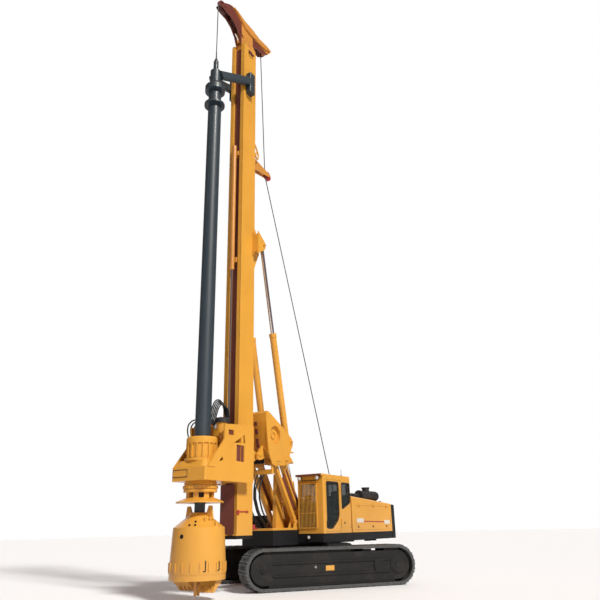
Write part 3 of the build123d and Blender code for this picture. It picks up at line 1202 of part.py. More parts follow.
# Kelly bar: thick tube with three drive keys, a disc, the flange that it hangs by and the square stub
THRUST_Z = GUIDE_RING[0] + GUIDE_FLOOR + SEAT
with BuildPart() as kelly_bar:
    with BuildSketch(Plane.XY.offset(KELLY_BOTTOM)):
        with Locations((KELLY_X, 0)):
            Circle(KELLY_R)
            with PolarLocations(KELLY_R + KEY_OUT / 2 - 10, 3):
                Rectangle(KEY_OUT + 20, 70)
            Circle(KELLY_BORE, mode=Mode.SUBTRACT)
    extrude(amount=COLLAR_Z - KELLY_BOTTOM)
    with BuildSketch(Plane.XY.offset(COLLAR_Z - 1)):
        with Locations((KELLY_X, 0)):
            Circle(KELLY_R)
            Circle(KELLY_BORE, mode=Mode.SUBTRACT)
    extrude(amount=THRUST_Z - COLLAR_Z + 2)
    for z, radius, thick in ((COLLAR_Z, COLLAR_R, COLLAR), (THRUST_Z, THRUST_R, THRUST)):
        with BuildSketch(Plane.XY.offset(z)):
            with Locations((KELLY_X, 0)):
                Circle(radius)
                Circle(KELLY_BORE, mode=Mode.SUBTRACT)
        extrude(amount=thick)
    with BuildSketch(Plane.XY.offset(KELLY_BOTTOM)):
        with Locations((KELLY_X, 0)):
            Circle(KELLY_R)
    extrude(amount=60)
    with BuildSketch(Plane.XY.offset(NECK_TOP)):
        with Locations((KELLY_X, 0)):
            Rectangle(KELLY_STUB, KELLY_STUB)
    extrude(amount=KELLY_BOTTOM + 1 - NECK_TOP)
save("kelly_bar", kelly_bar)

# Kelly guide: a ring that carries the kelly's flange, a hub and two arms to the mast's sides
ARM_ROOT = (KELLY_X - 40, 200.0, 15690.0)
ARM_TIP = (3760.0, 412.0, 16330.0)
GUIDE_ARM = (165.0, 300.0)     # width and height of an arm
CLAMP_X = (3570.0, 3860.0)
CLAMP_Z = (15850.0, 16660.0)
CLAMP_OUT = 470.0
arm_run = tuple(b - a for a, b in zip(ARM_ROOT, ARM_TIP))
with BuildPart() as kelly_guide:
    with BuildSketch(Plane(origin=ARM_ROOT, x_dir=(-arm_run[1], arm_run[0], 0), z_dir=arm_run)):
        RectangleRounded(*GUIDE_ARM, 60)
    extrude(amount=math.hypot(*arm_run))
    # Clamp that runs on the mast's side
    with BuildSketch(Plane.XY.offset(CLAMP_Z[0])):
        with Locations((sum(CLAMP_X) / 2, (MAST_HALF + SEAT + CLAMP_OUT) / 2)):
            RectangleRounded(CLAMP_X[1] - CLAMP_X[0], CLAMP_OUT - MAST_HALF - SEAT, 40)
    extrude(amount=CLAMP_Z[1] - CLAMP_Z[0])
    mirror(about=Plane.XZ)
    with BuildSketch(Plane(origin=(KELLY_X, 0, 0), x_dir=(1, 0, 0), z_dir=(0, -1, 0))):
        outline(((0, GUIDE_RING[0]), (GUIDE_RING_R, GUIDE_RING[0]), (GUIDE_RING_R, GUIDE_RING[1] - 20),
                 (GUIDE_RING_R - 25, GUIDE_RING[1]), (HUB_R + 20, GUIDE_RING[1] + 130), (HUB_R, GUIDE_RING[1] + 170),
                 (HUB_R, HUB_TOP - 30), (HUB_R - 30, HUB_TOP), (0, HUB_TOP)))
    revolve(axis=Axis((KELLY_X, 0, 0), (0, 0, 1)))
    # Room for the kelly and for its flange
    with BuildSketch(Plane.XY.offset(GUIDE_RING[0])):
        with Locations((KELLY_X, 0)):
            Circle(KELLY_R + 5)
    extrude(amount=GUIDE_FLOOR, mode=Mode.SUBTRACT)
    with BuildSketch(Plane.XY.offset(GUIDE_RING[0] + GUIDE_FLOOR)):
        with Locations((KELLY_X, 0)):
            Circle(THRUST_R + 5)
    extrude(amount=THRUST + 2 * PLAY, mode=Mode.SUBTRACT)
save("kelly_guide", kelly_guide)

# Swivel on the guide's hub, hung on the hoist rope
with BuildPart() as swivel:
    with BuildSketch(Plane(origin=(KELLY_X, 0, HUB_TOP), x_dir=(1, 0, 0), z_dir=(0, -1, 0))):
        outline(((0, SEAT), (120, SEAT), (120, 30), (84, 50), (84, 380), (60, 450), (24, 540), (18, 830), (0, 830)))
    revolve(axis=Axis((KELLY_X, 0, 0), (0, 0, 1)))
save("swivel", swivel)

# Drilling bucket: open shell with a conical shoulder, neck and two ears
LIP_OUT = 12.0
LIP = 46.0
LIP_BOTTOM = BUCKET_BOTTOM + DOOR_PLATE + 50
BUCKET_BARS = 10
BAR_OUT = 22.0
BAR = 210.0
with BuildPart() as bucket_shell:
    with BuildSketch(Plane(origin=(KELLY_X, 0, 0), x_dir=(1, 0, 0), z_dir=(0, -1, 0))):
        outline(((0, NECK_TOP), (NECK_R, NECK_TOP), (NECK_R + 40, NECK_TOP - 60),
                 (BUCKET_TOP_R, BUCKET_SHOULDER), (BUCKET_BOTTOM_R, BUCKET_BOTTOM + 320),
                 (BUCKET_BOTTOM_R, BUCKET_BOTTOM + DOOR_PLATE), (BUCKET_BOTTOM_R - BUCKET_WALL, BUCKET_BOTTOM + DOOR_PLATE),
                 (BUCKET_BOTTOM_R - BUCKET_WALL, BUCKET_BOTTOM + 320),
                 (BUCKET_TOP_R - BUCKET_WALL, BUCKET_SHOULDER - 20), (NECK_R, NECK_TOP - 110),
                 (0, NECK_TOP - 110)))
    revolve(axis=Axis((KELLY_X, 0, 0), (0, 0, 1)))
    with BuildSketch(Plane(origin=(KELLY_X, 0, 0), x_dir=(0, 1, 0), z_dir=(1, 0, 0))):
        outline(((NECK_R - 10, NECK_TOP - 120), (NECK_R + 230, NECK_TOP - 170), (NECK_R + 180, EARS_TOP),
                 (NECK_R + 90, EARS_TOP)))
        with Locations((NECK_R + 135, EARS_TOP - 75)):
            Circle(EAR_BORE_R, mode=Mode.SUBTRACT)
    extrude(amount=25, both=True)
    # Lip and upright bars round the foot
    with BuildSketch(Plane.XY.offset(LIP_BOTTOM)):
        with Locations((KELLY_X, 0)):
            Circle(BUCKET_BOTTOM_R + LIP_OUT)
            Circle(BUCKET_BOTTOM_R - BUCKET_WALL / 2, mode=Mode.SUBTRACT)
    extrude(amount=LIP)
    with BuildSketch(Plane.XY.offset(LIP_BOTTOM + LIP - 1)):
        with Locations((KELLY_X, 0)):
            with PolarLocations(BUCKET_BOTTOM_R - 2, BUCKET_BARS, start_angle=9):
                Rectangle(2 * BAR_OUT, 30)
    extrude(amount=BAR)
    # Knuckles and pin of the bottom door's hinge
    with BuildSketch(side(BUCKET_KNUCKLE + PLAY + 25, BUCKET_PIN[0], BUCKET_PIN[1])):
        Circle(30)
        outline(((-6, 29), (BUCKET_PIN_OUT + 18, 90), (BUCKET_PIN_OUT + 18, -8), (20, -8), (10, -25)))
    extrude(amount=25, both=True)
    with BuildSketch(side(0, BUCKET_PIN[0], BUCKET_PIN[1])):
        Circle(BUCKET_PIN_R)
    extrude(amount=-BUCKET_KNUCKLE - PLAY - 50)
    mirror(about=Plane.XZ)
save("bucket_shell", bucket_shell)

# Bucket door: the bottom plate with two inlets, a scoop with teeth beside each and the pilot
INLET_AT = (120.0, 330.0)
INLET_SIZE = (240.0, 480.0)
SCOOP_Y = (110.0, 590.0)
SCOOP = 150.0              # depth of a scoop under the plate
TEETH_PER_SIDE = 4
TOOTH_DOWN = 275.0
TOOTH_HALF = 40.0
PILOT_DOWN = 365.0
with BuildPart() as bucket_door:
    with BuildSketch(Plane.XY.offset(BUCKET_BOTTOM)):
        with Locations((KELLY_X, 0)):
            Circle(BUCKET_BOTTOM_R)
        with Locations((KELLY_X + INLET_AT[0], INLET_AT[1]), (KELLY_X - INLET_AT[0], -INLET_AT[1])):
            Rectangle(*INLET_SIZE, mode=Mode.SUBTRACT)
    extrude(amount=DOOR_PLATE - SEAT)
    with BuildSketch(side(0, BUCKET_PIN[0], BUCKET_PIN[1])):
        Circle(30)
        outline(((-10, -28), (BUCKET_PIN_OUT + 30, -98), (BUCKET_PIN_OUT + 30, -12), (24, -12), (12, -20)))
        Circle(BUCKET_PIN_R + ROD_FIT, mode=Mode.SUBTRACT)
    extrude(amount=BUCKET_KNUCKLE, both=True)
    # Forked pilot
    with BuildSketch(side(0, KELLY_X, BUCKET_BOTTOM)):
        outline(((-60, 10), (60, 10), (62, -PILOT_DOWN), (28, -PILOT_DOWN + 60), (0, -PILOT_DOWN + 130),
                 (-28, -PILOT_DOWN + 60), (-62, -PILOT_DOWN)))
    extrude(amount=40, both=True)
    for turn in (1, -1):
        with BuildSketch(side(turn * (SCOOP_Y[0] + SCOOP_Y[1]) / 2, KELLY_X, BUCKET_BOTTOM)):
            outline(((-turn * 10, 10), (-turn * 230, 10), (-turn * 190, -70), (-turn * 70, -SCOOP),
                     (turn * 20, -SCOOP - 30), (turn * 40, -SCOOP + 30)))
        extrude(amount=(SCOOP_Y[1] - SCOOP_Y[0]) / 2, both=True)
        for tooth in range(TEETH_PER_SIDE):
            y = turn * (SCOOP_Y[0] + TOOTH_HALF + tooth * (SCOOP_Y[1] - SCOOP_Y[0] - 2 * TOOTH_HALF)
                        / (TEETH_PER_SIDE - 1))
            with BuildSketch(side(y, KELLY_X, BUCKET_BOTTOM)):
                outline(((-turn * 60, -SCOOP + 20), (-turn * 40, -SCOOP - 40), (turn * 80, -TOOTH_DOWN),
                         (turn * 125, -TOOTH_DOWN + 10), (turn * 50, -SCOOP + 20)))
            extrude(amount=TOOTH_HALF, both=True)
save("bucket_door", bucket_door)
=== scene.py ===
# %% [markdown]
# # A rotary piling rig in Blender
# The machine stands on two tracks. An upper structure with cab, engine hoods and counterweight turns on them,
# and a parallelogram of arms and struts carries a carrier that holds the tall mast. A power head slides on the
# mast and turns the long kelly bar, which drives the drilling bucket. The solids come from the CAD model as a
# fixed frame. This lesson gives them their finishes and adds what is too small or too soft for the CAD: ropes,
# hoses, bolts, seams, lamps, handles and the seat.

# %% Load the frame
import json
import math
import bmesh
import bpy
from mathutils import Matrix, Quaternion, Vector


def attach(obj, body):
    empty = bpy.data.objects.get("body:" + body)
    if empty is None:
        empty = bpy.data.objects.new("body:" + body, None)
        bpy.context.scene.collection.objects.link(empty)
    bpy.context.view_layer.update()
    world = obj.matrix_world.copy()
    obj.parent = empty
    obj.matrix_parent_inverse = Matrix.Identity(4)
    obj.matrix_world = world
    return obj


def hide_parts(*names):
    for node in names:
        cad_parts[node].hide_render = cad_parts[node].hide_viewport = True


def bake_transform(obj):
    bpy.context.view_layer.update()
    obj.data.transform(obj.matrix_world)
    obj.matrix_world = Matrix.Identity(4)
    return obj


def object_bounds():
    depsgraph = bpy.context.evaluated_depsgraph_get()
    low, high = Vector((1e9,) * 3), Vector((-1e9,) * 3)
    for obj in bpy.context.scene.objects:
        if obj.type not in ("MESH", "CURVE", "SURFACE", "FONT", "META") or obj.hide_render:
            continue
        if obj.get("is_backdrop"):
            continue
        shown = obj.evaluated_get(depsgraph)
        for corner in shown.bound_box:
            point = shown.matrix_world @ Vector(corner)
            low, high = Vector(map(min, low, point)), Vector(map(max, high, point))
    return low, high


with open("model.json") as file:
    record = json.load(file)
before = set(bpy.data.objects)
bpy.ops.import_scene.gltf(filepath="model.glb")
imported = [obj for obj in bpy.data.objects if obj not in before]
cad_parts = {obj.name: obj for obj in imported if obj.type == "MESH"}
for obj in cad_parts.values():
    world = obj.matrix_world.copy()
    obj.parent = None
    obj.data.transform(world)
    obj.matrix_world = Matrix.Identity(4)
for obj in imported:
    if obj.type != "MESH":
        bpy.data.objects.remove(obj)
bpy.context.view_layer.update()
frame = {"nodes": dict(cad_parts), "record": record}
nodes = frame["nodes"]

# %% [markdown]
# ## Camera
# The picture is taken from the ground, a long way in front of the cab's corner, with the lens tilted up to
# take in the mast. A Blender camera looks along its own -Z, so a track quaternion turns it, and a small turn
# about its own axis leans it as the picture leans.

# %% Camera
CAMERA_AT = Vector((17.5724, 10.5652, 1.605))
CAMERA_LOOKS = Vector((-0.80085, -0.48276, 0.35439))
CAMERA_LEAN = math.radians(-1.225)
SENSOR = 36.0
LENS = 36.117

camera_data = bpy.data.cameras.new("camera")
camera_data.sensor_width = SENSOR
camera_data.lens = LENS
camera_data.clip_end = 400
camera = bpy.data.objects.new("camera", camera_data)
bpy.context.scene.collection.objects.link(camera)
camera.location = CAMERA_AT
camera.rotation_mode = "QUATERNION"
camera.rotation_quaternion = CAMERA_LOOKS.to_track_quat("-Z", "Y") @ Quaternion((0, 0, 1), CAMERA_LEAN)
bpy.context.scene.camera = camera
print("camera at", tuple(CAMERA_AT), "lens", LENS)

# %% [markdown]
# ## Floor
# The machine stands in a white hall, on a floor that is large and nearly white. One plane, far larger than
# what the picture shows, gives the floor and the light that it throws back. It lies 2 mm under the tracks, so
# that no two faces lie in one plane.

# %% Floor
FLOOR_HALF = 160.0
FLOOR_DROP = 0.002


def new_object(name, data):
    """Link a mesh or a light to the scene as an object."""
    made = bpy.data.objects.new(name, data)
    bpy.context.scene.collection.objects.link(made)
    return made


floor_mesh = bpy.data.meshes.new("floor")
floor_corners = [(x * FLOOR_HALF, y * FLOOR_HALF, -FLOOR_DROP) for x, y in ((-1, -1), (1, -1), (1, 1), (-1, 1))]
floor_mesh.from_pydata(floor_corners, [], [(0, 1, 2, 3)])
floor = new_object("floor", floor_mesh)
floor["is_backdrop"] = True
print("floor side", 2 * FLOOR_HALF)

# %% [markdown]
# ## Light
# The hall is lit from the cab's side. A sun with a wide disc lights the floor evenly up to its edge and leaves
# soft shadows, which a lamp at a fixed place can't. A warm disc in front keeps the shaded faces open.

# %% Lights
SUN_FROM = Vector((0.27, 0.64, 0.72))
SUN_STRENGTH = 3.9
SUN_WIDTH = math.radians(10)
SUN_COLOUR = (1.0, 0.97, 0.9)
FILL_FROM = Vector((34, 4, 7))
FILL_STRENGTH = 300
FILL_SIZE = 16
FILL_COLOUR = (1.0, 0.72, 0.55)
LIT_SPOT = Vector((1, 0, 5))

key = bpy.data.lights.new("key_light", "SUN")
key.energy = SUN_STRENGTH
key.angle = SUN_WIDTH
key.color = SUN_COLOUR
fill = bpy.data.lights.new("fill_light", "AREA")
fill.shape = "DISK"
fill.size = FILL_SIZE
fill.energy = FILL_STRENGTH
fill.color = FILL_COLOUR
for light_data, comes_from in ((key, SUN_FROM * 40), (fill, FILL_FROM)):
    light = new_object(light_data.name, light_data)
    light.location = comes_from
    light.rotation_mode = "QUATERNION"
    light.rotation_quaternion = (LIT_SPOT - comes_from).to_track_quat("-Z", "Y")
print("sun", SUN_STRENGTH, "fill", FILL_STRENGTH)

# %% [markdown]
# ## Writing shaders as sums
# A finish on a machine is a base colour with dust, wear and a little unevenness on top, which are sums and
# products of noises. Small classes let them be written that way: a wire is a socket that can be added and
# multiplied, and a node tree makes all its nodes by one method, which takes the node's kind, its settings and
# the values or wires of its sockets.

# %% Wires and node trees


class Wire:
    """The output of a node, for use in sums and products."""

    def __init__(self, nodes, socket):
        self.nodes = nodes
        self.socket = socket

    def __add__(self, other):
        return self.nodes.maths("ADD", self, other)

    def __sub__(self, other):
        return self.nodes.maths("SUBTRACT", self, other)

    def __rsub__(self, other):
        return self.nodes.maths("SUBTRACT", other, self)

    def __mul__(self, other):
        return self.nodes.maths("MULTIPLY", self, other)

    __radd__ = __add__
    __rmul__ = __mul__


class Nodes:
    """A node tree whose nodes all come from one method."""

    def __init__(self, tree):
        self.tree = tree

    def connect(self, socket, value):
        """Give a socket a wire, a colour or a number."""
        if isinstance(value, Wire):
            self.tree.links.new(value.socket, socket)
        elif isinstance(value, tuple) and len(value) == 3 and socket.type == "RGBA":
            socket.default_value = (*value, 1)
        else:
            socket.default_value = value

    def node(self, kind, settings=None, sockets=None, output=0):
        """Add a node: its settings are set first, then the values or wires of its sockets."""
        made = self.tree.nodes.new(kind)
        for key, value in (settings or {}).items():
            setattr(made, key, value)
        for key, value in (sockets or {}).items():
            self.connect(made.inputs[key], value)
        return Wire(self, made.outputs[output])

    def maths(self, operation, first, second):
        return self.node("ShaderNodeMath", {"operation": operation}, {0: first, 1: second})

    def ramp(self, value, low, high):
        """0 up to low, 1 from high on."""
        return self.node("ShaderNodeMapRange", {"interpolation_type": "SMOOTHSTEP"},
                         {"Value": value, "From Min": low, "From Max": high})

    def blend(self, share, first, second):
        """Colour that goes from the first to the second."""
        return self.node("ShaderNodeMix", {"data_type": "RGBA"}, {0: share, 6: first, 7: second}, output=2)


print("wires and node trees ready")

# %% [markdown]
# ## Finishes
# Paint, steel, glass and cloth are all one Principled shader with other numbers. A finish is a material with
# that shader, and knows where a point lies in the frame, so that a noise has its size in metres.

# %% Finishes


class Finish(Nodes):
    """A material with one Principled shader."""

    def __init__(self, name, **settings):
        self.material = bpy.data.materials.new(name)
        self.material.use_nodes = True
        super().__init__(self.material.node_tree)
        self.shader = self.tree.nodes["Principled BSDF"]
        for socket, value in settings.items():
            self.set(socket.replace("_", " "), value)

    def set(self, socket, value):
        self.connect(self.shader.inputs[socket], value)

    def place(self, stretch=(1, 1, 1)):
        """Where a point lies in the frame, in metres."""
        spot = self.node("ShaderNodeTexCoord", output="Object")
        return self.node("ShaderNodeVectorMath", {"operation": "MULTIPLY"}, {0: spot, 1: stretch})

    def height_above_floor(self):
        return self.node("ShaderNodeSeparateXYZ", None, {"Vector": self.place()}, output=2)

    def noise(self, scale, detail=4.0, stretch=(1, 1, 1)):
        """Uneven values between 0 and 1, with about scale spots to a metre."""
        return self.node("ShaderNodeTexNoise", None,
                         {"Vector": self.place(stretch), "Scale": scale, "Detail": detail})

    def bump(self, height, strength, distance=0.001):
        self.set("Normal", self.node("ShaderNodeBump", None,
                                     {"Height": height, "Strength": strength, "Distance": distance}))


print("finishes ready")

# %% [markdown]
# ## Sky
# The wall behind the machine is white, and the rest of the room is dim and warm, so that faces turned from the
# light go deep orange. How far a direction points towards the wall is one dot product, and a soft step on it
# tells wall from room. That takes no picture of a room.

# %% Sky
WALL_WAY = (-0.80, -0.48, 0.35)
WALL_EDGE = (0.72, 0.80)
WALL = (1.0, 1.0, 1.0)
ROOM = (0.17, 0.12, 0.11)

world = bpy.data.worlds.new("sky")
world.use_nodes = True
sky = Nodes(world.node_tree)
direction = sky.node("ShaderNodeTexCoord", output="Generated")
facing = sky.node("ShaderNodeVectorMath", {"operation": "DOT_PRODUCT"}, {0: direction, 1: WALL_WAY}, "Value")
sky.connect(sky.tree.nodes["Background"].inputs["Color"], sky.blend(sky.ramp(facing, *WALL_EDGE), ROOM, WALL))
bpy.context.scene.world = world
bpy.context.scene.view_settings.view_transform = "Standard"
print("white wall towards", WALL_WAY)

# %% [markdown]
# ## Enamel
# Construction machines are sprayed with a thick two-part enamel. It is glossy where it is clean, a little
# uneven like orange peel, and dust dulls it near the ground. The colour shifts a few percent over large
# plates, and dust runs down them in streaks. Noises from a metre to a few millimetres in size give all of that
# over one base colour. Below their rib the crown's arms get painted shade in a dark oxide red, which a mask
# made of the point's place lays under the dust.

# %% Enamel


def enamel(name, colour, dusty, roughness=0.34, dust=(0.40, 0.24, 0.10), coat=0.3, gloss=0.5, shade_mask=None):
    """Sprayed enamel that fades a little, with dust that lies thicker near the ground.
    Where the shade mask is 1, a painted shade of dark oxide red shows."""
    finish = Finish(name, Coat_Weight=coat, Coat_Roughness=0.16, Roughness=roughness, Specular_IOR_Level=gloss)
    fade = finish.noise(0.9, 3.0)
    faded = tuple(min(1.0, part * 1.12 + 0.01) for part in colour)
    deeper = tuple(part * 0.88 for part in colour)
    body = finish.blend(fade, deeper, faded)
    if shade_mask:
        body = finish.blend(shade_mask(finish), body, OXIDE_AND_SHADE)
    streaks = finish.ramp(finish.noise(3.0, 6.0, (1.6, 1.6, 0.16)), 0.52, 0.78)
    near_ground = 1 - finish.ramp(finish.height_above_floor(), 0.2, 3.2)
    dirt = (streaks * 0.35 + near_ground * 0.5) * dusty
    finish.set("Base Color", finish.blend(dirt, body, dust))
    finish.set("Roughness", finish.noise(24.0, 5.0) * 0.12 + dirt * 0.4 + (roughness - 0.06))
    finish.bump(finish.noise(70.0, 2.0), 0.05, 0.002)
    return finish.material


def shade_below_the_rib(finish):
    """Painted shade: 1 on the crown's arms below their rib, where shade falls, and 0 above it and over the
    mast.
    """
    along = finish.node("ShaderNodeSeparateXYZ", None, {"Vector": finish.place()})
    rib = finish.maths("MAXIMUM", (along - 3.771) * 0.557 + 18.886, 18.853)
    beside_mast = finish.ramp(finish.maths("ABSOLUTE", along - 3.62, 0.0), 0.30, 0.38)
    return finish.ramp(rib - finish.height_above_floor(), 0.02, 0.05) * beside_mast


# Dark oxide red: the colour of red oxide parts, and of painted shade.
OXIDE_AND_SHADE = (0.14, 0.030, 0.020)
YELLOW = (0.66, 0.315, 0.034)
yellow_enamel = enamel("yellow_enamel", YELLOW, 0.35)
dark_enamel = enamel("dark_enamel", (0.006, 0.007, 0.009), 0.12, 0.6, (0.06, 0.05, 0.045), 0.0, 0.15)
kelly_enamel = enamel("kelly_enamel", (0.016, 0.030, 0.042), 0.1, 0.5, (0.12, 0.11, 0.1), 0.08)
red_enamel = enamel("red_enamel", (0.34, 0.016, 0.016), 0.15, 0.35)
# Dark oxide red for lugs, fittings and sheaves, and as painted shade in recesses and gaps.
oxide_red = enamel("oxide_red", OXIDE_AND_SHADE, 0.2, 0.5, (0.2, 0.09, 0.04), 0.1)
# A darker, dustier yellow, as the crown has, for the guide sheave's bracket and the crowd cylinder.
worn_yellow = enamel("worn_yellow", (0.56, 0.235, 0.035), 0.9, 0.42, (0.16, 0.06, 0.03), 0.2)
# The crown's darker yellow carries painted shade below its rib.
crown_yellow = enamel("crown_yellow", (0.56, 0.235, 0.035), 0.9, 0.42, (0.16, 0.06, 0.03), 0.2,
                      shade_mask=shade_below_the_rib)
print("enamels:", yellow_enamel.name, dark_enamel.name, kelly_enamel.name, red_enamel.name)

# %% [markdown]
# ## Bare and oiled steel
# Tracks are cast and rolled steel, nearly black from oil and earth, polished only where they wear. Cylinder
# rods are hard chrome, and shafts are ground bright.

# %% Steels


def track_steel_finish(name, dark, light):
    finish = Finish(name, Metallic=0.35, Coat_Weight=0.0)
    grit = finish.noise(18.0, 8.0)
    patches = finish.ramp(finish.noise(2.2, 5.0), 0.45, 0.7)
    oiled = finish.blend(grit, dark, light)
    finish.set("Base Color", finish.blend(patches * 0.22, oiled, (0.06, 0.05, 0.042)))
    finish.set("Roughness", grit * 0.25 + 0.46)
    finish.bump(grit, 0.25, 0.004)
    return finish.material


def bright_steel(name, colour, roughness):
    finish = Finish(name, Metallic=1.0)
    lines = finish.noise(9.0, 6.0, (1.0, 1.0, 14.0))
    finish.set("Base Color", finish.blend(lines, tuple(0.9 * part for part in colour), colour))
    finish.set("Roughness", lines * 0.1 + roughness)
    return finish.material


track_steel = track_steel_finish("track_steel", (0.003, 0.003, 0.004), (0.011, 0.011, 0.012))
# Shoes: a lighter grit of steel, partly rubbed bare, partly painted highlights on their grousers.
shoe_steel = track_steel_finish("shoe_steel", (0.02, 0.021, 0.022), (0.13, 0.135, 0.14))
chrome = bright_steel("chrome_rod", (0.82, 0.83, 0.86), 0.08)
ground_steel = bright_steel("ground_steel", (0.45, 0.45, 0.46), 0.3)
print("steels ready")

# %% [markdown]
# ## Glass, rubber, plastic and cloth
# The cab's panes are tinted safety glass. A thin pane is drawn best as a see-through coloured gloss. Hoses
# are black rubber with a faint wrap, mouldings are grained plastic and the seat is woven cloth.

# %% Soft and clear finishes


def glass_finish():
    finish = Finish("tinted_glass", Roughness=0.04, Coat_Weight=0.6, Coat_Roughness=0.02)
    haze = finish.noise(1.3, 3.0)
    finish.set("Base Color", finish.blend(haze, (0.01, 0.02, 0.022), (0.03, 0.05, 0.05)))
    finish.set("Alpha", haze * 0.1 + 0.42)
    return finish.material


def grained(name, dark, light, scale, roughness, bump):
    """Grained plastic, wrapped rubber or woven cloth, which differ by their grain."""
    finish = Finish(name)
    grain = finish.noise(scale, 3.0)
    finish.set("Base Color", finish.blend(grain, dark, light))
    finish.set("Roughness", grain * 0.15 + roughness)
    finish.bump(grain, bump, 0.001)
    return finish.material


tinted_glass = glass_finish()
hose_rubber = grained("hose_rubber", (0.004, 0.004, 0.005), (0.014, 0.014, 0.016), 60.0, 0.55, 0.3)
black_plastic = grained("black_plastic", (0.008, 0.009, 0.011), (0.02, 0.02, 0.023), 90.0, 0.5, 0.25)
seat_cloth = grained("seat_cloth", (0.02, 0.021, 0.024), (0.06, 0.06, 0.065), 160.0, 0.85, 0.5)
print("clear and soft finishes ready")

# %% [markdown]
# ## Finishes on the CAD model
# The record names a slot for every node, such as yellow paint or hard chrome, and each slot has one finish.
# A few nodes look otherwise than the rest of their slot: shoes are lighter than the links, partly rubbed
# bare and partly painted highlights. The crown is a darker yellow with painted shade below its rib, its
# sheaves take the dark oxide red, and the guide sheave's bracket and the crowd cylinder are a darker yellow.
# A short table after the loop gives these their own finish.

# %% Finish of each CAD node
FINISH_OF_SLOT = {
    "yellow_paint": yellow_enamel,
    "dark_paint": dark_enamel,
    "kelly_paint": kelly_enamel,
    "track_steel": track_steel,
    "chrome_rod": chrome,
    "sheave_red": red_enamel,
    "cab_glass": tinted_glass,
    "seat_fabric": seat_cloth,
    "dark_plastic": black_plastic,
    "bright_steel": ground_steel,
}
for part in frame["record"]["subparts"]:
    mesh = nodes[part["node"]].data
    mesh.materials.clear()
    mesh.materials.append(FINISH_OF_SLOT[part["material_slot"]])
OTHERWISE = {
    "track_left": shoe_steel,
    "track_right": shoe_steel,
    "crown_frame": crown_yellow,
    "front_sheave": oxide_red,
    "rear_sheave": oxide_red,
    "sheave_bracket": worn_yellow,
    "crowd_barrel": worn_yellow,
}
for node, material in OTHERWISE.items():
    nodes[node].data.materials[0] = material
floor_finish = Finish("floor_finish", Base_Color=(0.88, 0.90, 0.94), Roughness=0.8)
floor_mesh.materials.append(floor_finish.material)
print("finishes given to", len(nodes), "nodes")

# %% [markdown]
# ## Shapes in mesh code
# Hoses, bolts, lamps and seams are turned, swept or boxed forms. One small class collects such forms in a
# mesh, so that a piece is a short table and a loop. Everything is in metres, in the frame of the machine.

# %% Shape helper
EDGE_SHARP = math.radians(35)


